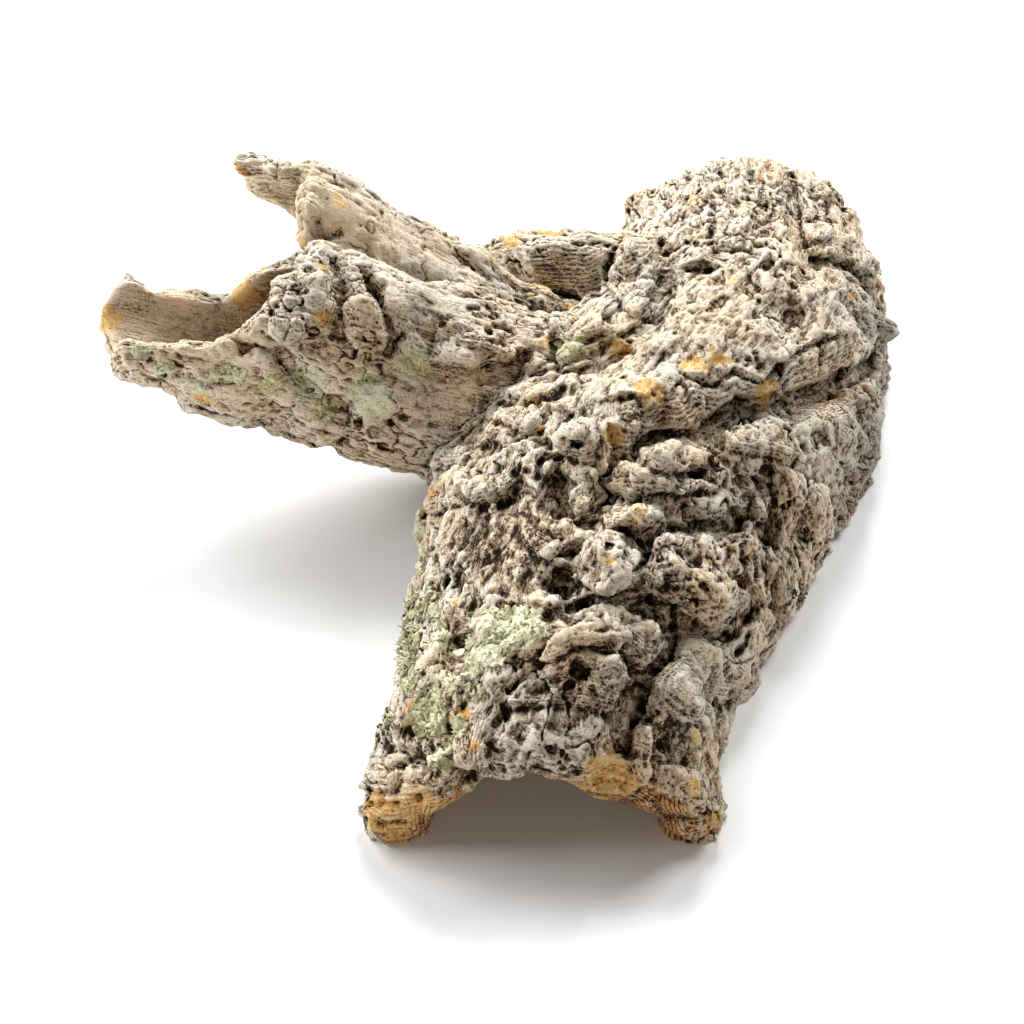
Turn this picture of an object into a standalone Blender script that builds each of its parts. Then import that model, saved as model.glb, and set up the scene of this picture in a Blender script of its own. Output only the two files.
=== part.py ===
"""A cork branch: the virgin bark of a forked cork oak limb, peeled off as a hollow shell.

The stem is a half tube that stands on its two long edges like a low bridge. At the fork it
parts into a far limb, which runs on to the back right, and two side limbs to the left: a lower
one, a tube whose end is broken open into a trough, and an upper one, a gutter that opens down.
They were grown as one bark and are parted here at the forks, one solid for each limb.

Metres, +Z up. The photograph looks along +Y, so the stem's front end faces -Y.
"""

import math

import bmesh
import bpy
import numpy as np
from mathutils import Matrix, Vector, noise
from mathutils.bvhtree import BVHTree

MM = 0.001

# Driving dimensions
LENGTH = 390 * MM
SPLIT_GAP = 0.3 * MM
UPPER_GAP = 0.39 * MM
WELD = 0.005 * MM
VOXEL = 2.4 * MM
RELAX_FACTOR = 0.5
TRIANGLES = {"trunk": 7400, "upper_limb": 1300}

# Relief of the bark: the sizes of its blocks and how deep the cracks between them run
BLOCKS = ((32 * MM, 3.6 * MM, 11), (18 * MM, 1.2 * MM, 23))
SWELL = (45 * MM, 2.0 * MM, 37)
BLOCK_BEND = 0.6
CRACK_WIDTH = 0.35
BLOCK_LEVEL = 0.7
# The inside of the bark is smooth: the relief is full near the skin, fades over this depth under it,
# and only a share of it is left further in
SKIN_DEPTH = 8 * MM
FADE_START = 1.2
INSIDE_SHARE = 0.22

# Where the photograph was taken from, in this frame: it turns a pixel into a sight line
EYE = Vector((0.0, -0.342, 0.371))
LOOKING_DOWN = math.radians(35)
FOCAL_PIXELS = 1500.0
PICTURE_CENTRE = 512.0

# The limbs, as stations of centre x, y, z, half width and half height, and of the wall at the
# sides and at the top
STEM = (
    (0.0115, -0.0025, 0.003, 0.060, 0.037, 0.023, 0.010),
    (0.0114, 0.008, 0.003, 0.060, 0.046, 0.022, 0.012),
    (0.0120, 0.022, 0.002, 0.060, 0.057, 0.021, 0.014),
    (0.018, 0.060, 0.002, 0.0615, 0.069, 0.021, 0.017),
    (0.031, 0.115, 0.002, 0.071, 0.079, 0.021, 0.017),
    (0.045, 0.165, 0.002, 0.083, 0.084, 0.021, 0.017),
    (0.071, 0.210, 0.002, 0.083, 0.087, 0.021, 0.017),
    (0.094, 0.260, 0.002, 0.077, 0.089, 0.020, 0.017),
    (0.111, 0.310, 0.002, 0.074, 0.089, 0.019, 0.017),
    (0.116, 0.350, 0.002, 0.075, 0.087, 0.019, 0.017),
    (0.119, LENGTH, 0.002, 0.069, 0.080, 0.019, 0.016),
)
LOWER_LIMB = (
    (0.060, 0.205, 0.036, 0.038, 0.038, 0.012, 0.011),
    (0.010, 0.208, 0.043, 0.041, 0.040, 0.012, 0.011),
    (-0.040, 0.210, 0.054, 0.041, 0.041, 0.012, 0.011),
    (-0.085, 0.210, 0.0715, 0.039, 0.040, 0.012, 0.011),
    (-0.120, 0.208, 0.078, 0.034, 0.035, 0.011, 0.011),
    (-0.150, 0.208, 0.086, 0.031, 0.030, 0.010, 0.011),
    (-0.188, 0.208, 0.096, 0.029, 0.027, 0.010, 0.010),
)
UPPER_LIMB = (
    (0.055, 0.260, 0.020, 0.032, 0.032, 0.009, 0.009),
    (0.012, 0.262, 0.035, 0.031, 0.030, 0.009, 0.009),
    (-0.012, 0.264, 0.047, 0.030, 0.028, 0.009, 0.009),
    (-0.030, 0.266, 0.060, 0.029, 0.028, 0.009, 0.009),
    (-0.060, 0.268, 0.076, 0.029, 0.028, 0.009, 0.009),
    (-0.090, 0.271, 0.096, 0.028, 0.028, 0.009, 0.009),
    (-0.124, 0.274, 0.099, 0.026, 0.026, 0.008, 0.008),
)
# The stub of a lost limb, on the back of the fork, is solid
STUB = (
    (0.080, 0.290, 0.036, 0.036, 0.042, 0, 0),
    (0.036, 0.298, 0.042, 0.032, 0.037, 0, 0),
    (-0.004, 0.304, 0.046, 0.025, 0.029, 0, 0),
    (-0.023, 0.306, 0.049, 0.018, 0.021, 0, 0),
)
# A tongue of bark that hangs from the front edge, right of its middle, is solid too
HANGING_EDGE = (
    (0.018, 0.006, 0.036, 0.007, 0.006, 0, 0),
    (0.030, 0.005, 0.027, 0.008, 0.009, 0, 0),
    (0.041, 0.006, 0.020, 0.009, 0.009, 0, 0),
    (0.053, 0.008, 0.014, 0.008, 0.008, 0, 0),
)
CORE_OVERSHOOT = 30 * MM

# What is broken off, as outlines in x and z, at the near wall's y and at the far wall's
LOWER_MOUTH = (
    (0.165, ((-0.079, 0.16), (-0.079, 0.118), (-0.087, 0.110), (-0.0985, 0.0945), (-0.116, 0.089),
             (-0.145, 0.0855), (-0.1515, 0.087), (-0.150, 0.072), (-0.144, 0.03), (-0.21, 0.03), (-0.21, 0.16))),
    (0.255, ((-0.085, 0.16), (-0.085, 0.093), (-0.1164, 0.087), (-0.124, 0.079), (-0.130, 0.0745),
             (-0.1506, 0.082), (-0.1656, 0.0935), (-0.190, 0.072), (-0.184, 0.03), (-0.21, 0.03), (-0.21, 0.16))),
)
UPPER_UNDERSIDE = (
    (0.225, ((0.075, -0.05), (0.075, 0.0), (0.012, 0.030), (-0.040, 0.070), (-0.067, 0.085), (-0.085, 0.098),
             (-0.2, 0.15), (-0.2, -0.05))),
    (0.281, ((0.075, -0.05), (0.075, 0.0), (0.012, 0.0287), (-0.040, 0.0608), (-0.082, 0.0804), (-0.101, 0.0957),
             (-0.2, 0.170), (-0.2, -0.05))),
    (0.310, ((0.075, -0.05), (0.075, 0.0), (0.012, 0.028), (-0.040, 0.056), (-0.103, 0.0700), (-0.123, 0.0955),
             (-0.2, 0.180), (-0.2, -0.05))),
)
UPPER_NEAR_END = (
    (0.225, ((-0.090, 0.05), (-0.088, 0.15), (-0.2, 0.15), (-0.2, 0.05))),
    (0.268, ((-0.090, 0.05), (-0.086, 0.15), (-0.2, 0.15), (-0.2, 0.05))),
)

# Lumps and hollows that the photograph shows, as pixel x, y, reach and rise in millimetres
LUMPS = (
    (515, 735, 28, 3), (600, 640, 26, 5), (688, 690, 20, 4), (688, 795, 15, 3), (608, 560, 13, 11),
    (641, 517, 8, 6), (655, 464, 21, 9), (690, 575, 26, 9), (531, 461, 22, 7), (506, 424, 18, 6),
    (447, 458, 14, 5), (575, 442, 13, 6), (650, 400, 28, 7), (700, 330, 36, 5), (770, 345, 26, 7),
    (735, 440, 18, 4), (795, 450, 20, 4), (842, 425, 18, 5), (755, 555, 14, 5), (800, 500, 16, 4),
    (640, 268, 16, 13), (645, 285, 8, 4), (612, 330, 13, 4), (714, 205, 10, 5), (690, 165, 18, 3),
    (765, 170, 22, 3), (835, 187, 15, 6), (852, 220, 14, 6), (865, 270, 13, 7), (878, 330, 12, 6),
    (318, 275, 13, 4), (365, 305, 13, 4), (408, 297, 14, 4), (472, 340, 17, 5), (330, 400, 18, 3),
    (200, 375, 14, 2), (537, 305, 9, 4), (582, 330, 14, 4), (530, 260, 20, 2),
    (500, 545, 26, -5), (560, 575, 10, -8), (562, 496, 8, -7), (459, 630, 11, -9), (447, 580, 7, -4),
    (615, 449, 7, -4), (690, 208, 17, -7), (706, 264, 8, -4), (794, 308, 11, -5), (638, 692, 7, -8),
    (582, 669, 5, -4), (680, 508, 14, -6), (336, 407, 8, -4), (339, 332, 7, -4), (806, 530, 8, -5),
    (425, 520, 24, 5), (852, 505, 28, -6), (645, 205, 20, 10), (775, 628, 16, 4), (742, 680, 12, 3),
    (364, 785, 13, 3),
)
UPPER_LUMPS = (
    (320, 212, 13, 2), (345, 256, 10, 2), (410, 245, 15, 2), (455, 285, 15, 2), (332, 186, 7, -3),
    (290, 180, 12, 1),
)
# Clefts between them, as pixels along each, half width and depth in millimetres
CLEFTS = (
    (((603, 480), (620, 465), (640, 447), (668, 439), (706, 439), (722, 428), (740, 406), (784, 405),
      (822, 396), (850, 386), (880, 356)), 4.5, 12),
    (((590, 512), (603, 482)), 4, 7),
    (((632, 530), (641, 560), (636, 592), (600, 600), (566, 592), (560, 565), (577, 543)), 3.5, 7),
    (((636, 533), (690, 528), (742, 520), (757, 488)), 4, 7),
    (((645, 602), (697, 624), (728, 637), (755, 612), (762, 560)), 4, 9),
    (((677, 620), (668, 652), (650, 671), (636, 695), (626, 721), (622, 745)), 4, 8),
    (((748, 637), (735, 655), (728, 700), (728, 745)), 4, 5),
    (((794, 174), (798, 206), (801, 241), (817, 259), (847, 264), (870, 300)), 4, 7),
    (((662, 240), (664, 278), (655, 315), (628, 332), (600, 349), (570, 362), (535, 374)), 5, 10),
    (((612, 262), (598, 300), (568, 330), (550, 360)), 4, 4),
    (((462, 440), (500, 446), (545, 440), (558, 455), (562, 496)), 3.5, 5),
    (((770, 470), (775, 520), (765, 570), (772, 620)), 4, 6),
    (((712, 450), (735, 480), (760, 482)), 3.5, 5),
    (((470, 600), (520, 607), (560, 612), (590, 625)), 3.5, 4),
    (((333, 261), (341, 300), (339, 332)), 3, 4),
    (((366, 275), (376, 301), (394, 335), (388, 350)), 3.5, 5),
    (((434, 370), (477, 372), (511, 370), (530, 352)), 3.5, 5),
    (((239, 341), (276, 350), (293, 370), (308, 387), (333, 398), (351, 416)), 4, 5),
)
UPPER_CLEFTS = ((((318, 222), (325, 240), (340, 232)), 2.5, 3),)

# The feet that the bark stands on, as centre x, y and reach; its edges are ragged between them
FEET = ((-0.040, 0.012, 0.034), (0.060, 0.012, 0.030), (0.055, 0.375, 0.035), (0.180, 0.360, 0.045),
        (0.100, 0.160, 0.030))
RAGGED_EDGE = 8 * MM
RAGGED_PER_METRE = (28, 75)
RAGGED_MEAN = 0.35
RAGGED_FINE = 0.5
FOOT_STEEPNESS = 3

# Where the bark is parted at the forks, as outlines seen from above
LIMB_CUT = ((-0.094, 0.050), (0.004, 0.2475), (-0.006, 0.263), (-0.30, 0.263), (-0.30, 0.050))
FAR_CUT = ((-0.10, 0.2563), (0.30, 0.1351), (0.30, 0.60), (-0.10, 0.60))
FLOOR_CUT = ((-0.4, -0.2), (0.4, -0.2), (0.4, 0.7), (-0.4, 0.7))

# Weathered bark of each limb
COLOURS = {
    "stem": (0.40, 0.34, 0.27, 1.0),
    "far_limb": (0.44, 0.38, 0.30, 1.0),
    "lower_side_limb": (0.41, 0.38, 0.29, 1.0),
    "upper_side_limb": (0.46, 0.40, 0.31, 1.0),
}
ROUGHNESS = 0.9


def clear_scene():
    for obj in list(bpy.data.objects):
        bpy.data.objects.remove(obj)


def collection_named(name):
    collection = bpy.data.collections.new(name)
    bpy.context.scene.collection.children.link(collection)
    return collection


def add_object(name, bm, collection):
    bmesh.ops.recalc_face_normals(bm, faces=bm.faces)
    if bm.calc_volume(signed=True) < 0:
        bmesh.ops.reverse_faces(bm, faces=bm.faces)
    mesh = bpy.data.meshes.new(name)
    bm.to_mesh(mesh)
    bm.free()
    obj = bpy.data.objects.new(name, mesh)
    collection.objects.link(obj)
    if collection == cutters:
        obj.hide_render = True
        obj.display_type = "WIRE"
    return obj


def loft(name, rings, collection):
    """A closed solid through rings that have the same number of points."""
    bm = bmesh.new()
    rows = [[bm.verts.new(point) for point in ring] for ring in rings]
    for low, high in zip(rows, rows[1:]):
        for k in range(len(low)):
            j = (k + 1) % len(low)
            bm.faces.new((low[k], low[j], high[j], high[k]))
    bm.faces.new(rows[0])
    bm.faces.new(rows[-1])
    return add_object(name, bm, collection)


def directions(path):
    """The way ahead at each point of a path."""
    ends = [(path[max(i - 1, 0)], path[min(i + 1, len(path) - 1)]) for i in range(len(path))]
    return [Vector(after[:3] - before[:3]).normalized() for before, after in ends]


def ring(centre, ahead, half_width, half_height, sides):
    side = ahead.cross(Vector((0, 0, 1))).normalized()
    up = side.cross(ahead)
    turns = [2 * math.pi * k / sides for k in range(sides)]
    return [Vector(centre) + side * math.cos(a) * half_width + up * math.sin(a) * half_height for a in turns]


def spline(stations, steps=4):
    """Catmull-Rom through the stations, so that a limb has no kink at one."""
    rows = np.array(stations, float)
    rows = np.vstack([2 * rows[0] - rows[1], rows, 2 * rows[-1] - rows[-2]])
    path = []
    for a, b, c, d in zip(rows, rows[1:], rows[2:], rows[3:]):
        for t in np.linspace(0, 1, steps, endpoint=False):
            path.append(0.5 * (2 * b + (c - a) * t + (2 * a - 5 * b + 4 * c - d) * t**2
                               + (3 * b - a - 3 * c + d) * t**3))
    path.append(rows[-2])
    return np.array(path)


def limb(name, stations, sides=40):
    """A solid tube along the stations."""
    rings = []
    for here, ahead in zip(stations, directions(stations)):
        rings.append(ring(here[:3], ahead, here[3], here[4], sides))
    return loft(name, rings, workshop)


def core(name, stations, past_start, past_end, sides=40):
    """The hollow of a limb: its tube less the wall, which can run out past its ends."""
    path = directions(stations)
    rings = [ring(here[:3], ahead, here[3] - here[5], here[4] - here[6], sides)
             for here, ahead in zip(stations, path)]
    if past_start:
        rings.insert(0, [point - path[0] * CORE_OVERSHOOT for point in rings[0]])
    if past_end:
        rings.append([point + path[-1] * CORE_OVERSHOOT for point in rings[-1]])
    return loft(name, rings, workshop)


def broken_off(name, outlines):
    """The solid between a near and a far outline, which a break takes away."""
    return loft(name, [[Vector((x, y, z)) for x, z in outline] for y, outline in outlines], workshop)


def upright_cutter(name, outline, grow, low=-0.3, high=0.3):
    """A prism over an outline in x and y whose sides stand out by grow."""
    corners = [Vector(corner) for corner in outline]
    sides = []
    for a, b in zip(corners, corners[1:] + corners[:1]):
        outwards = Vector((b.y - a.y, a.x - b.x)).normalized()
        sides.append((outwards, outwards.dot(a) + grow))
    grown = []
    for (n, reach), (m, next_reach) in zip(sides, sides[1:] + sides[:1]):
        turn = n.x * m.y - n.y * m.x
        grown.append(((reach * m.y - next_reach * n.y) / turn, (next_reach * n.x - reach * m.x) / turn))
    return loft(name, [[Vector((x, y, z)) for x, y in grown] for z in (low, high)], cutters)


def settle(obj):
    """Puts what the object's modifiers make into its mesh."""
    bpy.context.view_layer.update()
    mesh = bpy.data.meshes.new_from_object(obj.evaluated_get(bpy.context.evaluated_depsgraph_get()))
    obj.modifiers.clear()
    obj.data = mesh


def combine(target, others, operation):
    for other in others:
        modifier = target.modifiers.new(operation, "BOOLEAN")
        modifier.operation = operation
        modifier.object = other
        settle(target)
        if other.name in workshop.objects:
            bpy.data.objects.remove(other)


def remesh(obj, voxel):
    modifier = obj.modifiers.new("even", "REMESH")
    modifier.mode = "VOXEL"
    modifier.voxel_size = voxel
    settle(obj)


def relax(obj, repeats):
    modifier = obj.modifiers.new("relax", "SMOOTH")
    modifier.iterations = repeats
    modifier.factor = RELAX_FACTOR
    settle(obj)


def thin_out(obj, triangles):
    obj.data.calc_loop_triangles()
    modifier = obj.modifiers.new("thin_out", "DECIMATE")
    modifier.ratio = triangles / len(obj.data.loop_triangles)
    modifier.use_collapse_triangulate = True
    settle(obj)


def keep_largest_body(obj):
    bm = bmesh.new()
    bm.from_mesh(obj.data)
    left = set(bm.verts)
    bodies = []
    while left:
        body = {left.pop()}
        edge = set(body)
        while edge:
            edge = {other for vert in edge for link in vert.link_edges for other in link.verts} - body
            body |= edge
        left -= body
        bodies.append(body)
    largest = max(bodies, key=len)
    bmesh.ops.delete(bm, geom=[vert for vert in bm.verts if vert not in largest], context="VERTS")
    bmesh.ops.dissolve_degenerate(bm, edges=bm.edges, dist=WELD)
    bmesh.ops.remove_doubles(bm, verts=bm.verts, dist=WELD)
    bm.to_mesh(obj.data)
    bm.free()


def coordinates(mesh):
    points = np.empty(len(mesh.vertices) * 3, np.float32)
    mesh.vertices.foreach_get("co", points)
    return points.reshape(-1, 3).astype(float)


def normals(mesh):
    directions = np.empty(len(mesh.vertices) * 3, np.float32)
    mesh.vertices.foreach_get("normal", directions)
    return directions.reshape(-1, 3).astype(float)


def tree_of(obj):
    mesh = obj.data
    return BVHTree.FromPolygons([vert.co for vert in mesh.vertices], [face.vertices for face in mesh.polygons])


def surface_point(tree, pixel):
    """The point of the surface that the photograph shows at a pixel, or else the nearest to that sight line."""
    forward = Vector((0.0, math.cos(LOOKING_DOWN), -math.sin(LOOKING_DOWN)))
    down = Vector((0.0, -math.sin(LOOKING_DOWN), -math.cos(LOOKING_DOWN)))
    right = Vector((1.0, 0.0, 0.0))
    across, along = ((value - PICTURE_CENTRE) / FOCAL_PIXELS for value in pixel)
    line = (forward + right * across + down * along).normalized()
    hit = tree.ray_cast(EYE, line)[0]
    if hit is None:
        tries = [tree.find_nearest(EYE + line * reach) for reach in np.arange(0.4, 0.95, 0.01)]
        hit = min(tries, key=lambda found: found[3])[0]
    return np.array(hit)


def placed_relief(points, tree, lumps, clefts):
    """How far each point rises by the photograph's own lumps, hollows and clefts."""
    rise = np.zeros(len(points))
    for x, y, reach, height in lumps:
        away = np.linalg.norm(points - surface_point(tree, (x, y)), axis=1) / (reach * MM)
        rise += height * MM * np.clip(1 - away**2, 0, None) ** 2
    for pixels, half_width, depth in clefts:
        corners = [surface_point(tree, pixel) for pixel in pixels]
        nearest = np.full(len(points), np.inf)
        for a, b in zip(corners, corners[1:]):
            share = np.clip((points - a) @ (b - a) / ((b - a) @ (b - a)), 0, 1)
            nearest = np.minimum(nearest, np.linalg.norm(points - a - share[:, None] * (b - a), axis=1))
        rise -= depth * MM * np.exp(-((nearest / (half_width * MM)) ** 2))
    return rise


def bent_by_noise(place, seed, amount):
    shifts = [noise.noise(place + Vector((seed, 7 * axis, -seed))) for axis in range(3)]
    return place + Vector(shifts) * amount


def grown_relief(points):
    """Swells and cracked blocks, which cover the bark everywhere."""
    rise = np.zeros(len(points))
    for i, point in enumerate(points):
        place = Vector(point)
        size, depth, seed = SWELL
        rise[i] += depth * noise.noise(place / size + Vector((seed, 0, 0)))
        for size, depth, seed in BLOCKS:
            bent = bent_by_noise(place / size, seed, BLOCK_BEND)
            first, second = noise.voronoi(bent + Vector((seed, seed, 0)))[0][:2]
            rise[i] += depth * (min((second - first) / CRACK_WIDTH, 1.0) - BLOCK_LEVEL)
    return rise


def carve(obj, skin, lumps, clefts):
    """Raises and lowers the surface, and the inside much less."""
    points = coordinates(obj.data)
    tree = tree_of(obj)
    depth = np.array([skin.find_nearest(Vector(point))[3] for point in points])
    outside = np.clip(FADE_START - depth / SKIN_DEPTH, INSIDE_SHARE, 1)
    rise = (placed_relief(points, tree, lumps, clefts) + grown_relief(points)) * outside
    points += normals(obj.data) * rise[:, None]
    obj.data.vertices.foreach_set("co", points.ravel())
    obj.data.update()


def add_ground():
    """The uneven surface under the bark that makes its edges ragged, open where the feet stand."""
    bm = bmesh.new()
    bmesh.ops.create_grid(bm, x_segments=90, y_segments=90, size=0.3)
    bmesh.ops.translate(bm, verts=bm.verts, vec=(0, 0.2, 0))
    for vert in bm.verts:
        coarse, fine = (noise.noise(vert.co * per_metre) for per_metre in RAGGED_PER_METRE)
        height = RAGGED_EDGE * (RAGGED_MEAN + coarse + RAGGED_FINE * fine)
        foot = max(1 - (vert.co.xy - Vector(centre)).length / reach for *centre, reach in FEET)
        vert.co.z = height - (height + RAGGED_EDGE) * min(max(foot * FOOT_STEEPNESS, 0), 1)
    bottom = bmesh.ops.extrude_face_region(bm, geom=list(bm.faces))["geom"]
    for element in bottom:
        if isinstance(element, bmesh.types.BMVert):
            element.co.z = -0.3
    return add_object("ground", bm, workshop)


def build_trunk():
    stem_path = spline(STEM)
    lower_path = spline(LOWER_LIMB)
    trunk = limb("trunk", stem_path)
    combine(trunk, [limb("stub", spline(STUB)), limb("lower_limb", lower_path)], "UNION")
    remesh(trunk, VOXEL)
    relax(trunk, 4)
    skin = tree_of(trunk)
    combine(trunk, [core("stem_core", stem_path, True, True), core("lower_core", lower_path, False, True),
                    broken_off("lower_mouth", LOWER_MOUTH)], "DIFFERENCE")
    combine(trunk, [limb("hanging_edge", spline(HANGING_EDGE))], "UNION")
    remesh(trunk, VOXEL)
    relax(trunk, 2)
    carve(trunk, skin, LUMPS, CLEFTS)
    remesh(trunk, VOXEL)
    relax(trunk, 1)
    combine(trunk, [add_ground()], "DIFFERENCE")
    thin_out(trunk, TRIANGLES["trunk"])
    keep_largest_body(trunk)
    return trunk


def build_upper_limb():
    path = spline(UPPER_LIMB)
    upper = limb("upper_limb", path)
    skin = tree_of(upper)
    combine(upper, [core("upper_core", path, True, True), broken_off("underside", UPPER_UNDERSIDE),
                    broken_off("near_end", UPPER_NEAR_END)], "DIFFERENCE")
    remesh(upper, VOXEL)
    relax(upper, 2)
    carve(upper, skin, UPPER_LUMPS, UPPER_CLEFTS)
    remesh(upper, VOXEL)
    relax(upper, 1)
    thin_out(upper, TRIANGLES["upper_limb"])
    return upper


def swollen(source, by):
    """A copy that is larger all over, to cut a neighbour clear of the source."""
    copy = bpy.data.objects.new(source.name + "_swollen", source.data.copy())
    workshop.objects.link(copy)
    points = coordinates(copy.data) + normals(copy.data) * by
    copy.data.vertices.foreach_set("co", points.ravel())
    copy.data.update()
    return copy


def part_from(name, source, keep, away):
    """A piece of the source: what lies in every solid of keep and in none of away."""
    piece = bpy.data.objects.new(name, source.data.copy())
    pieces.objects.link(piece)
    combine(piece, keep, "INTERSECT")
    combine(piece, away, "DIFFERENCE")
    keep_largest_body(piece)
    return piece


def part_at_forks(trunk, upper):
    """The four limbs, with a gap of a hair's width where one was grown to the next."""
    floor = upright_cutter("floor_cut", FLOOR_CUT, 0.0, high=0.0)
    limb_side = upright_cutter("limb_side", LIMB_CUT, -SPLIT_GAP / 2)
    off_limb = upright_cutter("off_limb", LIMB_CUT, SPLIT_GAP / 2)
    far_side = upright_cutter("far_side", FAR_CUT, -SPLIT_GAP / 2)
    off_far = upright_cutter("off_far", FAR_CUT, SPLIT_GAP / 2)
    upper_room = swollen(trunk, UPPER_GAP)
    part_from("stem", trunk, [], [floor, off_limb, off_far])
    part_from("far_limb", trunk, [far_side], [floor, off_limb])
    part_from("lower_side_limb", trunk, [limb_side], [floor])
    part_from("upper_side_limb", upper, [], [upper_room])


def finish_pieces():
    """Gives each limb its own bark, and puts the origin on the floor under the middle of the branch."""
    corners = np.vstack([coordinates(piece.data) for piece in pieces.objects])
    low, high = corners.min(axis=0), corners.max(axis=0)
    middle = Vector(((low[0] + high[0]) / 2, (low[1] + high[1]) / 2, low[2]))
    for piece in pieces.objects:
        piece.data.transform(Matrix.Translation(-middle))
        bark = bpy.data.materials.new(piece.name + "_bark")
        bark.use_nodes = True
        shader = bark.node_tree.nodes["Principled BSDF"]
        shader.inputs["Base Color"].default_value = COLOURS[piece.name]
        shader.inputs["Roughness"].default_value = ROUGHNESS
        shader.inputs["Metallic"].default_value = 0.0
        bark.diffuse_color = COLOURS[piece.name]
        piece.data.materials.clear()
        piece.data.materials.append(bark)
    for cutter in cutters.objects:
        cutter.data.transform(Matrix.Translation(-middle))


clear_scene()
pieces = collection_named("cork_branch")
cutters = collection_named("cutters")
workshop = collection_named("workshop")

trunk = build_trunk()
upper_limb = build_upper_limb()
part_at_forks(trunk, upper_limb)
for helper in list(workshop.objects):
    bpy.data.objects.remove(helper)
bpy.data.collections.remove(workshop)
finish_pieces()
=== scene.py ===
"""Looks of the cork branch: weathered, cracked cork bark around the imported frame.

The bark of the stem, the far limb and the lower side limb grew as one, so it is carved as one skin
and then parted where the solids are parted. The upper side limb is carved on its own.
"""

import itertools
import math
import random
from concurrent.futures import ThreadPoolExecutor

import bmesh
import bpy
import numpy as np
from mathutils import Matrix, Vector
from mathutils.bvhtree import BVHTree
from mathutils.geometry import delaunay_2d_cdt


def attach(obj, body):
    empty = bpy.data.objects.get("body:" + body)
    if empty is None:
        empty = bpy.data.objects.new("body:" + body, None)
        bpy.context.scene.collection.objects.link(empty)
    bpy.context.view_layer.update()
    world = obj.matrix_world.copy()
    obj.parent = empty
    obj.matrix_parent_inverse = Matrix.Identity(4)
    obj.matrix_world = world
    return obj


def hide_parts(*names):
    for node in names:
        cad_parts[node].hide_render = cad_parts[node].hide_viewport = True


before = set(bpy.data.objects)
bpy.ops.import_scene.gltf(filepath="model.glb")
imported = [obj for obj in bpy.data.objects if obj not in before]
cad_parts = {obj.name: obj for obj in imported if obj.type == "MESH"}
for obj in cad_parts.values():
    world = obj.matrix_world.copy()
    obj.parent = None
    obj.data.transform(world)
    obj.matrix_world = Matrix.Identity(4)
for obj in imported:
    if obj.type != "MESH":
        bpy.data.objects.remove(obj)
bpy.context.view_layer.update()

MM = 0.001

# The frame's origin, in the coordinates that the part was drawn in, and the photograph's camera
ORIGIN = np.array((0.00834, 0.19496, 0.0))
EYE = Vector((-0.00834, -0.53696, 0.371))
LOOKING_DOWN = math.radians(35)
FOCAL_PIXELS = 1500.0
PICTURE = 1024
SENSOR = 36.0

# Sizes of the working meshes, and the share of their faces that is kept
SOFT_VOXEL = 1.1 * MM
SMOOTHINGS = 3
FINE_VOXEL = 0.72 * MM
GAP_FILL = 0.35 * MM
KEPT = 0.46
SPLINE_STEPS = 2
TINY = 1e-9
# How far apart the yearly layers show where a face cuts across them, in millimetres
RING = 1.8
# The width of a lobe's lip, of the crease before it, and of the crease between two limbs
LIP = 0.8 * MM
VALLEY = 1.5 * MM
CREASE_REACH = 4 * MM
# How far the bark's thickness is looked for, how much of it is never carved, and the shortest line of fibres
MOST_ROOM = 20 * MM
KEPT_BARK = 2.5 * MM
LEAST_FLOW = 2 * MM
# From where on a point's normal times its way to the camera counts as facing the camera
TURNED_AWAY = -0.02
# Numbers that turn a cell's place into a random number, and a turn that hides the cells' directions
HASH_FACTORS = np.array((0x8DA6B343, 0xD8163841, 0xCB1AB31F), np.uint32)
HASH_ROUNDS = np.array(((15, 0x2C1B3C6D), (12, 0x297A2D39), (15, 1)), np.uint32)
SEED_FACTOR = 2654435761
TURN = np.array(((0.36, 0.48, -0.8), (-0.8, 0.6, 0.0), (0.48, 0.64, 0.6)), np.float32)
# Blocks that the bark cracks into: size, the cracks' depth and width, the step between blocks, and seed
BLOCKS = ((21, 2.2, 0.14, 2.0, 11), (10, 1.4, 0.16, 1.2, 23))
# Fine fissures: how far apart, width, depth and seed
FINE_FISSURES = ((11.0, 0.07, 1.2, 43), (5.0, 0.09, 0.35, 47))
# Hollows: the name of their mark, how often the skin is averaged to find them, and how much they darken it as
# painted shade
HOLLOWS = (("near_hollow", 3, -0.85), ("wide_hollow", 9, -0.40), ("widest_hollow", 36, -0.14))
# How the fibre texture is stretched, in the fibres' own terms
ALONG_FIBRES = (0.06, 1.7, 1.7)
# Colours from dark to light, each after its place on the ramp
WEATHERED = ((0.0, 0.012, 0.008, 0.005), (0.22, 0.058, 0.038, 0.023), (0.42, 0.20, 0.145, 0.098),
             (0.62, 0.41, 0.335, 0.245), (0.82, 0.64, 0.56, 0.435), (1.0, 0.86, 0.79, 0.665))
BROKEN = ((0.25, 0.075, 0.03, 0.01), (0.40, 0.40, 0.165, 0.04), (0.58, 0.76, 0.42, 0.12),
          (0.88, 0.90, 0.66, 0.34))
GROWN = ((0.2, 0.06, 0.055, 0.02), (0.4, 0.30, 0.30, 0.13), (0.65, 0.63, 0.63, 0.40),
         (0.95, 0.84, 0.85, 0.66))
MINT = ((0.1, 0.09, 0.08, 0.04), (0.35, 0.38, 0.37, 0.22), (0.6, 0.68, 0.68, 0.48),
        (0.9, 0.86, 0.87, 0.70))
YELLOW = ((0.1, 0.05, 0.04, 0.015), (0.35, 0.24, 0.21, 0.08), (0.6, 0.50, 0.47, 0.24),
          (0.9, 0.74, 0.72, 0.46))
DARK = ((0.35, 0.010, 0.008, 0.005), (0.6, 0.045, 0.036, 0.020), (0.8, 0.16, 0.14, 0.08))
WARM_WASH = (1.08, 0.93, 0.74, 1)
UNDER_WASH = (1.0, 0.72, 0.45, 1)
# Near black, painted as the shade inside pores that are only bumped, not carved
PORE_SHADE_COLOUR = (0.02, 0.013, 0.008, 1)
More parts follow.
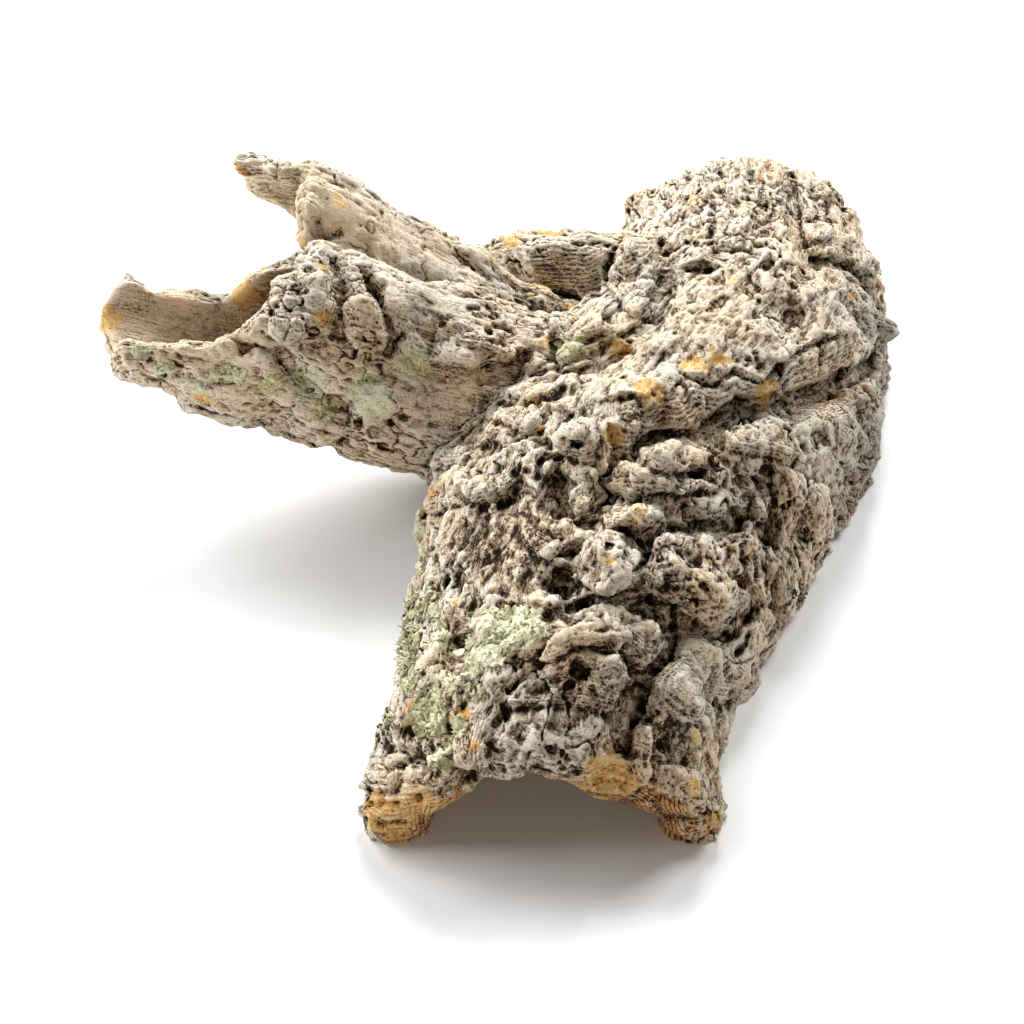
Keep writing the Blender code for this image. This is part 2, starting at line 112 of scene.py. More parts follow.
FLOOR_COLOUR = (0.85, 0.87, 0.89, 1)
WHITE = (1.0, 1.0, 1.0)
WARM = (1.0, 0.78, 0.58)
# Lights: name, place, size, power and colour. They all point at LIT_PLACE
LIGHTS = (
    ("back_softbox", (0.1, 0.9, 0.9), 0.5, 19, WHITE),
    ("back_right_softbox", (0.9, 0.7, 0.9), 0.55, 16, WHITE),
    ("back_left_softbox", (-0.9, 0.7, 0.9), 0.55, 13, WHITE),
    ("left_card", (-1.2, 0.1, 0.6), 0.8, 17, WHITE),
    ("front_card", (0.0, -1.3, 0.35), 0.6, 4.5, WARM),
)
LIT_PLACE = Vector((0.0, 0.0, 0.02))
WORLD_STRENGTH = 0.09
# Corners round a lichen flake, and rows along a strand
FLAKE_STEPS = 16
STRAND_ROWS = 6

# The limbs, as stations of centre x, y, z, half width and half height
STEM = (
    (0.0115, -0.0025, 0.003, 0.060, 0.037),
    (0.0114, 0.008, 0.003, 0.060, 0.046),
    (0.0120, 0.022, 0.002, 0.060, 0.057),
    (0.018, 0.060, 0.002, 0.0615, 0.069),
    (0.031, 0.115, 0.002, 0.071, 0.079),
    (0.045, 0.165, 0.002, 0.083, 0.084),
    (0.071, 0.210, 0.002, 0.083, 0.087),
    (0.094, 0.260, 0.002, 0.077, 0.089),
    (0.111, 0.310, 0.002, 0.074, 0.089),
    (0.116, 0.350, 0.002, 0.075, 0.087),
    (0.119, 0.390, 0.002, 0.069, 0.080),
)
LOWER_LIMB = (
    (0.060, 0.205, 0.036, 0.038, 0.038),
    (0.010, 0.208, 0.043, 0.041, 0.040),
    (-0.040, 0.210, 0.054, 0.041, 0.041),
    (-0.085, 0.210, 0.0715, 0.039, 0.040),
    (-0.120, 0.208, 0.078, 0.034, 0.035),
    (-0.150, 0.208, 0.086, 0.031, 0.030),
    (-0.188, 0.208, 0.096, 0.029, 0.027),
)
UPPER_LIMB = (
    (0.055, 0.260, 0.020, 0.032, 0.032),
    (0.012, 0.262, 0.035, 0.031, 0.030),
    (-0.012, 0.264, 0.047, 0.030, 0.028),
    (-0.030, 0.266, 0.060, 0.029, 0.028),
    (-0.060, 0.268, 0.076, 0.029, 0.028),
    (-0.090, 0.271, 0.096, 0.028, 0.028),
    (-0.124, 0.274, 0.099, 0.026, 0.026),
)
STUB = (
    (0.080, 0.290, 0.036, 0.036, 0.042),
    (0.036, 0.298, 0.042, 0.032, 0.037),
    (-0.004, 0.304, 0.046, 0.025, 0.029),
    (-0.023, 0.306, 0.049, 0.018, 0.021),
)

# Where the solids are parted, as lines seen from above
LIMB_LINE = ((-0.094, 0.050), (0.004, 0.2475))
LIMB_BACK = ((-0.30, 0.263), (0.30, 0.263))
FAR_LINE = ((-0.10, 0.2563), (0.30, 0.1351))
STEM_HALF = ((-0.30, 0.125), (0.30, 0.125))
FAR_HALF = ((-0.30, 0.270), (0.30, 0.270))

# What the photograph shows of the relief, by pixel. Grooves: half width and depth in millimetres
GROOVES = (
    (2.2, 6, (603, 480), (620, 465), (640, 447), (668, 439), (706, 439), (722, 428), (740, 406)),
    (2.0, 5, (740, 406), (784, 405), (822, 396), (850, 386), (880, 356)),
    (1.6, 4, (590, 512), (603, 482)),
    (1.6, 4, (636, 533), (690, 528), (742, 520), (757, 488)),
    (2.0, 5, (645, 602), (697, 624), (728, 637), (755, 612), (762, 560)),
    (1.8, 5, (677, 620), (668, 652), (650, 671), (636, 695), (626, 721), (622, 745)),
    (1.6, 4, (748, 637), (735, 655), (728, 700), (728, 745)),
    (1.6, 4, (794, 174), (798, 206), (801, 241), (817, 259), (847, 264), (870, 300)),
    (1.8, 5, (662, 240), (664, 278), (655, 315), (628, 332), (600, 349), (570, 362), (535, 374)),
    (1.4, 3, (612, 262), (598, 300), (568, 330), (550, 360)),
    (1.4, 3, (462, 440), (500, 446), (545, 440), (558, 455), (562, 496)),
    (1.6, 4, (770, 470), (775, 520), (765, 570), (772, 620)),
    (1.4, 4, (712, 450), (735, 480), (760, 482)),
    (1.4, 1.2, (470, 600), (520, 607), (560, 612), (590, 625)),
    (0.7, 2, (506, 710), (516, 707), (535, 704), (561, 703)),
    (0.7, 2, (523, 675), (513, 685), (505, 695), (504, 710), (506, 722)),
    (0.8, 2.5, (531, 721), (538, 727), (541, 737), (546, 745), (557, 751), (566, 760)),
    (0.7, 2, (520, 736), (524, 745), (531, 751), (543, 747)),
    (0.7, 2, (545, 748), (555, 760), (561, 769), (560, 773)),
    (1.8, 6, (637, 665), (643, 675), (640, 691), (634, 700), (628, 707)),
    (1.6, 2.5, (530, 688), (548, 684), (566, 676)),
    (0.8, 1.5, (540, 657), (574, 638), (601, 615)),
    (0.8, 1.5, (560, 668), (600, 634), (630, 622)),
    (1.0, 4, (571, 647), (597, 646), (611, 643), (629, 646)),
    (1.8, 4, (603, 650), (617, 649), (630, 652)),
    (1.3, 5, (366, 805), (381, 803), (396, 806)),
    (1.2, 4, (368, 819), (386, 821), (404, 820)),
    (0.8, 2.5, (657, 759), (682, 760), (687, 761)),
    (1.2, 3, (490, 590), (505, 591)),
    (2.0, 5, (655, 536), (645, 545), (637, 560)),
    (0.6, 1.6, (645, 556), (670, 553), (697, 550)),
    (0.6, 1.6, (640, 566), (668, 565), (698, 562)),
    (0.6, 1.6, (642, 577), (670, 577), (700, 575)),
    (0.7, 2, (648, 588), (675, 590), (705, 590)),
    (1.6, 4, (555, 553), (574, 551)),
    (1.3, 4, (557, 455), (557, 432), (561, 425), (569, 413)),
    (0.9, 2.5, (499, 451), (507, 449), (520, 450)),
    (0.9, 3, (542, 455), (538, 472)),
    (0.7, 2, (520, 462), (505, 478)),
    (0.8, 2.5, (507, 434), (514, 434)),
    (1.0, 3, (641, 404), (643, 432), (640, 451)),
    (1.6, 4, (709, 400), (712, 417), (721, 432), (708, 437)),
    (1.0, 3, (693, 424), (695, 432), (689, 438)),
    (1.1, 4, (732, 416), (745, 416)),
    (1.5, 4, (614, 455), (604, 478)),
    (1.5, 4, (688, 466), (702, 473), (707, 466), (710, 481)),
    (1.0, 3, (790, 369), (789, 385), (785, 401)),
    (1.4, 4, (820, 345), (822, 369), (815, 389), (805, 399)),
    (1.8, 5, (835, 337), (838, 351), (836, 369), (830, 386), (829, 393)),
    (0.8, 2, (858, 350), (873, 353), (882, 356)),
    (1.5, 3, (844, 385), (860, 390)),
    (0.7, 1.6, (758, 423), (768, 426), (774, 425), (781, 432)),
    (0.8, 2, (830, 420), (838, 437), (837, 458), (842, 468)),
    (1.6, 4, (712, 222), (707, 236)),
    (1.4, 3, (672, 184), (686, 176)),
    (1.0, 2.5, (727, 181), (750, 182)),
    (0.8, 2, (675, 262), (688, 251), (702, 242), (712, 240)),
    (2.2, 4, (690, 268), (718, 263)),
    (0.8, 3, (658, 230), (659, 240)),
    (0.9, 3, (788, 177), (797, 169)),
    (1.8, 4, (813, 197), (836, 196)),
    (0.8, 3, (801, 217), (813, 217)),
    (0.8, 3, (802, 237), (811, 237)),
    (0.9, 3, (805, 242), (828, 242)),
    (1.0, 3, (790, 204), (795, 211), (798, 223), (800, 228)),
    (1.6, 4, (843, 254), (851, 264)),
    (0.9, 2.5, (746, 291), (753, 296), (762, 303)),
    (1.8, 4, (560, 292), (578, 299), (596, 296)),
    (2.0, 4, (530, 300), (534, 315), (540, 328)),
    (0.9, 3, (547, 306), (547, 318)),
    (1.0, 3, (553, 341), (557, 358), (558, 370)),
    (1.2, 3, (262, 331), (276, 344), (299, 348), (312, 336)),
    (1.4, 4, (333, 261), (341, 300), (339, 332)),
    (1.4, 4, (366, 275), (376, 301), (394, 335), (388, 350)),
    (1.4, 4, (434, 370), (477, 372), (511, 370), (530, 352)),
    (1.4, 4, (239, 341), (276, 350), (293, 370), (308, 387), (333, 398), (351, 416)),
    (0.8, 2.5, (458, 341), (460, 348)),
    (0.8, 2.5, (483, 340), (483, 345)),
)
# Lobes of bark between creases: how much one stands up, and its outline
LOBES = (
    (4, (549, 638), (576, 621), (605, 611), (633, 602), (658, 605), (675, 623), (668, 645), (660, 657),
     (650, 668), (641, 663), (630, 647), (612, 643), (596, 648), (573, 648), (552, 660), (535, 662)),
    (1.8, (552, 662), (573, 650), (596, 650), (612, 646), (626, 650), (633, 663), (636, 678), (630, 695),
     (625, 712), (612, 716), (590, 708), (572, 704), (560, 703), (535, 704), (516, 708), (506, 709),
     (504, 697), (512, 685), (523, 676), (535, 668)),
    (3, (722, 645), (735, 648), (745, 660), (749, 675), (742, 690), (732, 702), (718, 705), (712, 690),
     (714, 670)),
    (3, (716, 705), (733, 703), (731, 725), (728, 745), (727, 760), (716, 740)),
    (2.5, (655, 762), (690, 763), (700, 765), (725, 760), (727, 790), (726, 812), (715, 828), (690, 838),
     (672, 832), (660, 812), (656, 795), (655, 780)),
    (2.2, (622, 722), (655, 722), (657, 740), (654, 760), (640, 752), (622, 746)),
    (4.5, (638, 452), (652, 442), (673, 440), (691, 441), (704, 448), (712, 459), (722, 467), (724, 480),
     (716, 492), (706, 484), (702, 472), (690, 470), (672, 472), (655, 470), (645, 464)),
    (5, (603, 484), (613, 471), (631, 464), (645, 467), (657, 473), (679, 480), (697, 476), (713, 487),
     (713, 492), (697, 492), (677, 496), (655, 492), (640, 495), (620, 493), (606, 492)),
    (4.5, (634, 564), (656, 559), (691, 559), (720, 559), (734, 575), (745, 585), (752, 598), (745, 609),
     (734, 617), (725, 630), (709, 634), (695, 619), (674, 612), (656, 600), (638, 585)),
    (4, (722, 428), (735, 418), (748, 414), (765, 412), (782, 420), (790, 435), (795, 450), (785, 462),
     (768, 455), (750, 452), (735, 447), (722, 445)),
    (4, (745, 514), (768, 523), (775, 541), (775, 559), (777, 576), (772, 594), (762, 610), (752, 590),
     (748, 565), (745, 540)),
    (4, (777, 523), (791, 537), (795, 559), (790, 580), (786, 600), (776, 605), (778, 580), (777, 555)),
    (4, (724, 480), (745, 473), (765, 482), (774, 500), (768, 520), (748, 512), (728, 505)),
    (3, (452, 668), (480, 662), (520, 668), (512, 682), (503, 695), (503, 712), (490, 725), (485, 750),
     (488, 770), (470, 772), (455, 760), (447, 740), (448, 710), (450, 690)),
    (3.5, (362, 752), (385, 747), (398, 757), (399, 775), (392, 790), (370, 792), (360, 778)),
    (3, (360, 783), (395, 792), (430, 785), (458, 780), (460, 800), (440, 812), (430, 825), (410, 840),
     (385, 843), (368, 825), (360, 805)),
    (4, (405, 500), (418, 482), (440, 470), (465, 470), (478, 485), (470, 503), (450, 510), (425, 512)),
    (4, (425, 466), (433, 453), (455, 441), (471, 428), (499, 423), (513, 435), (493, 441), (476, 450),
     (463, 466), (441, 468)),
    (4.5, (473, 451), (499, 436), (519, 438), (523, 451), (513, 470), (506, 493), (486, 503), (466, 499),
     (461, 483), (470, 466)),
    (4, (493, 405), (506, 398), (533, 403), (543, 413), (541, 430), (526, 435), (513, 426), (499, 421),
     (483, 418), (486, 410)),
    (4.5, (556, 440), (566, 425), (582, 416), (592, 423), (597, 443), (594, 463), (579, 463),
     (562, 453)),
    (4, (596, 446), (602, 421), (619, 416), (632, 435), (632, 460), (620, 470), (604, 486), (597, 473)),
    (4, (506, 397), (519, 388), (549, 382), (559, 388), (554, 402), (541, 398), (519, 400)),
    (4.5, (544, 455), (566, 453), (591, 466), (599, 483), (606, 499), (596, 513), (582, 518), (571, 509),
     (568, 493), (579, 483), (562, 473), (546, 474)),
    (4, (599, 508), (629, 499), (645, 506), (652, 521), (639, 539), (620, 526), (599, 523)),
    (5, (595, 534), (609, 528), (628, 534), (639, 545), (632, 561), (624, 573), (615, 580), (605, 592),
     (591, 587), (576, 580), (581, 563), (586, 544)),
    (3, (516, 513), (541, 529), (566, 546), (549, 562), (526, 546)),
    (4.5, (613, 257), (615, 250), (624, 242), (634, 239), (644, 240), (651, 244), (655, 260), (655, 280),
     (650, 300), (640, 315), (625, 310), (612, 295), (608, 275)),
    (3.5, (551, 305), (565, 298), (585, 300), (600, 300), (603, 318), (598, 335), (580, 340), (562, 340),
     (550, 330)),
    (3.5, (556, 343), (575, 338), (598, 338), (602, 350), (590, 362), (572, 372), (560, 370)),
    (4, (281, 295), (292, 270), (303, 250), (325, 250), (337, 270), (342, 300), (338, 330), (315, 345),
     (285, 345), (268, 325)),
    (3.5, (345, 262), (366, 275), (378, 300), (393, 335), (385, 350), (360, 352), (345, 335),
     (343, 300)),
    (3.5, (378, 270), (405, 270), (425, 290), (440, 310), (470, 330), (505, 345), (520, 352), (490, 368),
     (440, 368), (410, 360), (397, 345), (392, 320), (380, 300)),
    (3.5, (800, 205), (828, 203), (832, 215), (800, 218)),
    (3.5, (800, 220), (830, 219), (834, 237), (803, 238)),
    (3.5, (805, 244), (832, 242), (838, 256), (815, 258)),
    (4, (812, 180), (835, 178), (850, 190), (848, 205), (836, 200), (813, 194)),
)
# Edges of plates: how far the rise reaches and how high it is; the plate is on the left of the line's course
LEDGES = (
    (6, 2.5, (644, 782), (650, 774), (656, 755), (653, 739)),
    (6, 2.5, (470, 504), (489, 500), (503, 497), (512, 483)),
    (6, 3.0, (609, 528), (595, 534), (586, 544), (581, 563), (576, 580), (591, 587), (605, 592),
     (615, 580), (624, 573), (632, 561), (639, 545), (628, 534), (609, 528)),
    (5, 2.5, (560, 606), (574, 602), (588, 595), (606, 594), (624, 589)),
    (6, 2.5, (668, 653), (667, 640), (676, 627), (671, 610), (656, 598)),
    (6, 2.5, (503, 400), (520, 403), (535, 401), (546, 404)),
    (7, 2.5, (621, 401), (634, 401), (641, 404), (655, 390), (668, 397), (677, 378), (687, 391)),
    (7, 2.5, (723, 463), (708, 450), (702, 445), (688, 442), (670, 440), (655, 443), (641, 452)),
    (6, 2.5, (655, 472), (647, 466), (631, 464), (613, 471), (603, 483)),
    (5, 1.5, (651, 244), (644, 240), (634, 239), (624, 242), (615, 250), (613, 257)),
    (8, 3.0, (690, 378), (712, 385), (731, 371), (761, 381), (781, 362), (800, 350), (825, 338),
     (850, 332)),
)
# Bumps and hollows: reach and rise
BUMPS = (
    (4, 2.5, 435, 762), (8, 2.5, 380, 768), (5, -3, 670, 743), (3, 1.5, 645, 801), (3, 1.5, 653, 804),
    (4, 2, 430, 605), (2.5, 1.5, 443, 500), (5, 2.5, 642, 517), (4, 1.8, 616, 613), (8, 3, 575, 442),
    (3, 1.8, 534, 408), (3.5, 2, 539, 427), (3, 1.5, 551, 431), (5, 2.5, 485, 446), (5, 2.5, 508, 444),
    (5, 2, 581, 505), (6, -3, 661, 418), (3.5, 2, 632, 430), (3.5, 2, 631, 448), (2.2, 1.5, 641, 381),
    (3, 1.5, 849, 366), (3, 1.5, 840, 384), (5, -3, 807, 446), (4.5, 2, 644, 282), (4, 2, 706, 194),
    (4, 2, 713, 212), (4.5, -2.5, 764, 202), (3.5, 2, 530, 291), (3, 1.5, 524, 363), (4, 1.5, 504, 274),
    (6, -2.5, 284, 360),
)
# Holes: radius and depth
HOLES = (
    (3.0, 6, 581, 670), (1.5, 3, 571, 687), (2.5, 4, 406, 730), (1.6, 4, 419, 796), (2.2, 4, 662, 795),
    (2.0, 3, 665, 817), (2.2, 3.5, 706, 813), (1.8, 4, 452, 500), (2.0, 5, 448, 581), (1.8, 3, 611, 541),
    (1.6, 3, 680, 550), (3.2, 5, 562, 575), (2.6, 5, 564, 505), (1.8, 4, 578, 446), (1.8, 4, 539, 475),
    (2.6, 6, 562, 496), (1.2, 2.5, 491, 453), (3.5, 4, 611, 438), (2.0, 5, 616, 448), (1.3, 4, 748, 358),
    (1.0, 3, 622, 376), (1.4, 4, 631, 339), (1.8, 4, 790, 410), (0.9, 2, 708, 193), (2.6, 4, 697, 184),
    (1.0, 2, 731, 190), (1.0, 2.5, 655, 251), (2.5, 3.5, 808, 268), (1.5, 4, 307, 270),
    (3.0, 3, 246, 348), (2.0, 4, 165, 373), (1.3, 3, 190, 376), (2.5, 5, 336, 407), (2.2, 5, 359, 424),
    (2.2, 5, 806, 530), (2.0, 5, 819, 558),
)
# Marks on the bark, by pixel and reach in millimetres. Broken cork is orange
FRESH = (
    (409, 705, 5), (406, 730, 3), (466, 713, 3), (446, 726, 4), (442, 743, 3), (472, 746, 3),
    (380, 815, 8), (400, 815, 8), (420, 800, 7), (395, 832, 7), (372, 800, 6), (611, 775, 9),
    (595, 765, 4), (625, 785, 6), (590, 785, 4), (695, 738, 4), (720, 760, 4), (695, 786, 4),
    (718, 787, 3), (714, 822, 5), (425, 495, 7), (412, 505, 5), (445, 485, 4), (456, 600, 2.5),
    (615, 564, 4), (642, 517, 4), (616, 613, 3), (530, 410, 2.5), (540, 428, 2.5), (551, 431, 2),
    (546, 386, 4), (439, 492, 6), (611, 437, 6), (692, 452, 3.5), (622, 346, 6), (694, 367, 7),
    (719, 361, 6), (649, 392, 8), (875, 400, 5), (770, 394, 8), (690, 193, 4), (720, 182, 3),
    (743, 204, 3), (742, 211, 2.5), (732, 281, 3), (854, 222, 2), (852, 297, 3), (760, 175, 3),
    (787, 179, 2), (512, 241, 6), (548, 231, 7), (530, 291, 3), (546, 340, 4), (110, 320, 7),
    (103, 310, 5), (242, 292, 9), (325, 320, 5), (323, 267, 3), (202, 397, 6), (235, 167, 5),
    (340, 200, 5), (816, 544, 3), (838, 512, 3),
)
LICHEN = (
    (515, 630, 9), (490, 645, 9), (470, 660, 7), (540, 625, 4), (416, 525, 5), (418, 548, 4),
    (412, 567, 4), (430, 720, 6), (140, 350, 5), (163, 370, 5), (236, 372, 5), (195, 384, 5),
    (273, 382, 4), (324, 412, 6), (417, 367, 10), (576, 347, 5), (370, 395, 12), (310, 380, 10),
    (445, 640, 6), (405, 600, 6),
)
# Where the bark is painted paler or darker than elsewhere, partly for its own tone and partly as painted
# light and shade: reach and how much, by pixel
TONES_AND_PAINTED_LIGHT = (
    (507, 542, 24, -0.22), (760, 175, 28, -0.1), (720, 260, 26, -0.05), (400, 235, 22, 0.1),
    (340, 215, 20, 0.1), (195, 305, 24, 0.16), (690, 680, 18, -0.05), (560, 330, 20, -0.05),
    (790, 500, 30, -0.05), (620, 350, 30, 0.1), (820, 300, 24, 0.04), (820, 432, 22, 0.12),
    (745, 425, 12, 0.05), (430, 380, 30, 0.14), (340, 370, 30, 0.12), (230, 370, 30, 0.12),
    (150, 345, 25, 0.12), (170, 300, 25, 0.12), (507, 540, 20, -0.12), (430, 600, 18, -0.08),
    (695, 580, 16, -0.08), (665, 425, 12, -0.08), (530, 725, 16, 0.04), (740, 180, 25, -0.05),
    (765, 590, 18, -0.03), (570, 580, 7, -0.1), (686, 218, 10, -0.14), (730, 420, 7, -0.1),
    (640, 690, 8, -0.1), (670, 745, 6, -0.12), (459, 625, 7, -0.14), (611, 440, 6, -0.12),
    (794, 300, 6, -0.1), (800, 560, 12, -0.06), (780, 480, 12, -0.06),
)
# Where the bark is smooth
CALM = (
    (385, 812, 13), (412, 800, 10), (685, 680, 14), (700, 650, 12), (825, 411, 15), (800, 415, 10),
    (867, 368, 10), (600, 650, 9), (565, 640, 9), (665, 425, 12), (715, 410, 12), (755, 392, 9),
    (820, 368, 13), (840, 350, 10), (580, 265, 14), (550, 270, 12), (440, 300, 14), (405, 300, 10),
)
# Steep faces across the yearly layers: height, rim and foot
CLIFFS = (
    (4.0,
     ((621, 403), (641, 405), (655, 392), (668, 398), (680, 386), (696, 386), (712, 388), (730, 379),
      (764, 384), (778, 368)),
     ((612, 470), (631, 460), (645, 450), (668, 440), (689, 438), (706, 440), (723, 430), (745, 410),
      (765, 405), (782, 402))),
    (4.0,
     ((781, 364), (793, 356), (805, 352), (820, 347), (832, 340), (845, 333), (852, 328)),
     ((784, 400), (797, 400), (808, 396), (820, 393), (832, 389), (842, 381), (853, 372))),
    (3.0,
     ((530, 250), (556, 246), (583, 247), (597, 243)),
     ((536, 290), (560, 298), (582, 300), (600, 296))),
)
# Where fibres run otherwise than along the limb: reach, and the line that they follow
FLOWS = (
    (9, (505, 722), (545, 672)), (9, (547, 671), (633, 612)), (7, (596, 645), (660, 630)),
    (8, (506, 728), (580, 765)), (8, (585, 768), (650, 775)), (11, (655, 655), (712, 658)),
    (9, (660, 700), (716, 705)), (6, (735, 652), (722, 698)), (13, (735, 470), (765, 590)),
    (12, (785, 470), (800, 570)), (12, (835, 440), (828, 520)), (9, (650, 430), (770, 395)),
    (9, (790, 425), (862, 405)), (8, (606, 498), (713, 488)), (8, (640, 568), (700, 566)),
    (9, (362, 772), (403, 776)), (9, (700, 200), (712, 240)), (9, (470, 640), (545, 625)),
)
# Lichen by node: how many flakes, their least and greatest radius and curl in millimetres, how yellow they
# are, and where they grow, as the middle and the half sizes of an oval of pixels
GROWTHS = {
    "stem": (
        (85, 1.2, 2.6, 0.6, 0.0, (510, 625, 38, 17)), (40, 1.1, 2.4, 0.7, 0.1, (488, 650, 30, 16)),
        (24, 1.6, 3.2, 1.6, 0.4, (430, 716, 14, 26)), (8, 1.5, 2.4, 1.0, 0.2, (437, 762, 10, 10)),
        (10, 1.2, 2.2, 1.0, 0.2, (456, 738, 10, 20)), (36, 0.9, 1.9, 1.2, 0.4, (424, 622, 22, 38)),
        (22, 0.9, 1.8, 1.2, 0.5, (406, 668, 12, 26)), (20, 0.9, 1.8, 0.6, 0.7, (416, 545, 13, 34)),
        (16, 1.0, 2.0, 0.5, 0.9, (572, 348, 17, 12)), (10, 0.9, 1.6, 0.8, 0.3, (462, 690, 14, 16)),
    ),
    "lower_side_limb": (
        (16, 1.0, 2.0, 0.4, 0.8, (272, 383, 12, 7)), (22, 1.0, 2.0, 0.4, 0.7, (324, 411, 16, 14)),
        (20, 1.0, 2.0, 0.4, 0.4, (230, 373, 20, 8)), (12, 1.0, 2.0, 0.4, 0.3, (140, 349, 10, 6)),
        (14, 1.0, 2.0, 0.4, 0.4, (163, 370, 12, 8)), (14, 1.0, 2.0, 0.4, 0.7, (417, 367, 12, 8)),
    ),
}
# Strands and crumbs: how many, their least and greatest length or radius in millimetres, and where
TUFTS = (
    (150, 2.0, 4.5, (405, 656, 8, 14)), (70, 1.5, 3.5, (408, 622, 10, 20)),
    (50, 1.2, 3.0, (386, 718, 8, 22)), (50, 1.2, 3.0, (430, 700, 16, 40)),
    (40, 1.0, 2.2, (440, 600, 20, 24)),
)
CRUMBS = (
    (60, 0.3, 0.9, (382, 724, 9, 20)), (40, 0.3, 0.9, (674, 726, 18, 12)),
    (60, 0.3, 0.8, (412, 640, 16, 36)), (24, 0.3, 0.8, (424, 738, 18, 16)),
    (20, 0.3, 0.8, (800, 596, 8, 8)), (16, 0.3, 0.8, (520, 560, 30, 16)),
)
UPPER_CALM = ((340, 215, 12), (400, 235, 14), (440, 260, 12))
UPPER_GROOVES = (
    (1.4, 3, (318, 222), (325, 240), (340, 232)),
    (0.9, 2.5, (463, 259), (474, 267), (481, 272), (490, 280)),
)
UPPER_HOLES = (
    (2.0, 3, 332, 186), (1.0, 2.5, 499, 298), (0.9, 2.5, 492, 305), (1.0, 2.5, 508, 293), (0.9, 2, 449, 305),
)


def scatter(cells, seed):
    """A steady random whole number for each whole-numbered cell."""
    x, y, z = (cells[:, axis].astype(np.uint32) for axis in range(3))
    mixed = x * HASH_FACTORS[0] + y * HASH_FACTORS[1] + z * HASH_FACTORS[2]
    mixed += np.uint32(seed * SEED_FACTOR % 2**32)
    for shift, factor in HASH_ROUNDS:
        mixed ^= mixed >> shift
        mixed *= factor
    return mixed


def by_parts(work):
    """Lets a function of many points work on four lots of them at the same time."""
    def shared(points, *rest):
        with ThreadPoolExecutor(4) as pool:
            found = list(pool.map(lambda lot: work(lot, *rest), np.array_split(points, 4)))
        if isinstance(found[0], tuple):
            return tuple(np.concatenate(parts) for parts in zip(*found))
        return np.concatenate(found)
    return shared


@by_parts
def noise(points, size, seed):
    """Smooth noise from -1 to 1 whose swells are about size wide."""
    places = (points / size).astype(np.float32) @ TURN + np.float32(seed * 7.31)
    low = np.floor(places)
    share = places - low
    share = share * share * share * (share * (share * 6 - 15) + 10)
    low = low.astype(np.int32)
    total = np.zeros(len(points), np.float32)
    for corner in itertools.product((0, 1), repeat=3):
        weight = np.ones(len(points), np.float32)
        for axis in range(3):
            weight *= share[:, axis] if corner[axis] else 1 - share[:, axis]
        total += weight * (scatter(low + np.array(corner, np.int32), seed) * np.float32(2**-31) - 1)
    return total


def rough(points, size, seed, octaves):
    """Noise with finer noise on it."""
    total = np.zeros(len(points), np.float32)
    for octave in range(octaves):
        total += noise(points, size / 2**octave, seed + octave * 13) * 0.5**octave
    return total


def wander(points, size, seed, octaves, reach):
    """A rough way off for each point, with its size and reach in millimetres."""
    ways = [rough(points, size * MM, seed + axis, octaves) for axis in range(3)]
    return np.stack(ways, axis=1) * reach * MM


@by_parts
def blocks(points, size, seed):
    """Cracks a body into blocks: how far each point is from a crack, its block's number, its place in it."""
    places = (points / size).astype(np.float32) @ TURN + np.float32(seed * 3.17)
    low = np.floor(places).astype(np.int32)
    inside = places - low
    first = np.full(len(points), 9.0, np.float32)
    second = first.copy()
    number = np.zeros(len(points), np.uint32)
    place = np.zeros((len(points), 3), np.float32)
    for step in itertools.product((-1, 0, 1), repeat=3):
        mixed = scatter(low + np.array(step, np.int32), seed)
        parts = [(mixed >> np.uint32(shift)) & np.uint32(1023) for shift in (0, 10, 20)]
        away = np.stack([inside[:, i] - step[i] - parts[i] * np.float32(1 / 1023) for i in range(3)], axis=1)
        distance = (away * away).sum(axis=1)
        closer = distance < first
        second = np.where(closer, first, np.minimum(second, distance))
        first = np.where(closer, distance, first)
        number = np.where(closer, mixed, number)
        place[closer] = away[closer]
    return np.sqrt(second) - np.sqrt(first), number, place


def fissures(points, size, width, seed):
    """Winding cracks that fade out and start again: 1 in the middle of one, less their average."""
    crack = np.exp(-((rough(points, size * MM, seed, 3) / width) ** 2))
    split = crack * np.clip(0.4 + 2 * noise(points, 2.5 * (size * MM), seed + 5), 0, 1)
    return split - split.mean()


def plates(points, size, seed, count, edge):
    """Flat plates at whole-numbered heights, with steep torn edges between them."""
    value = count * rough(points, size * MM, seed, 3)
    low = np.floor(value)
    return low + np.clip((value - low - 0.5) / edge + 0.5, 0, 1) - 0.5


def ridges(points, size, seed, octaves):
    """Sharp crests between troughs, with finer crests on them."""
    total = np.zeros(len(points), np.float32)
    for octave in range(octaves):
        total += (1 - 2.2 * np.abs(noise(points, size * MM / 2**octave, seed + octave * 17))) * 0.5**octave
    return total - total.mean()


def pits(points, size, seed, radius):
    """Small round holes, one in a few cells: 1 in the middle of one, 0 from its rim on."""
    _, number, place = blocks(points, size * MM, seed)
    away = np.sqrt((place * place).sum(axis=1)) * (size * MM) / (radius * MM)
    return np.clip(1.4 - 1.4 * away, 0, 1) * ((number & np.uint32(3)) == 0)


def spline(stations):
    """A smooth path through the stations of a limb, in the frame's coordinates."""
    rows = np.array(stations, float)
    rows[:, :3] -= ORIGIN
    rows = np.vstack([2 * rows[0] - rows[1], rows, 2 * rows[-1] - rows[-2]])
    path = []
    for a, b, c, d in zip(rows, rows[1:], rows[2:], rows[3:]):
        for t in np.linspace(0, 1, SPLINE_STEPS, endpoint=False):
            path.append(0.5 * (2 * b + (c - a) * t + (2 * a - 5 * b + 4 * c - d) * t**2
                               + (3 * b - a - 3 * c + d) * t**3))
    path.append(rows[-2])
    return np.array(path)


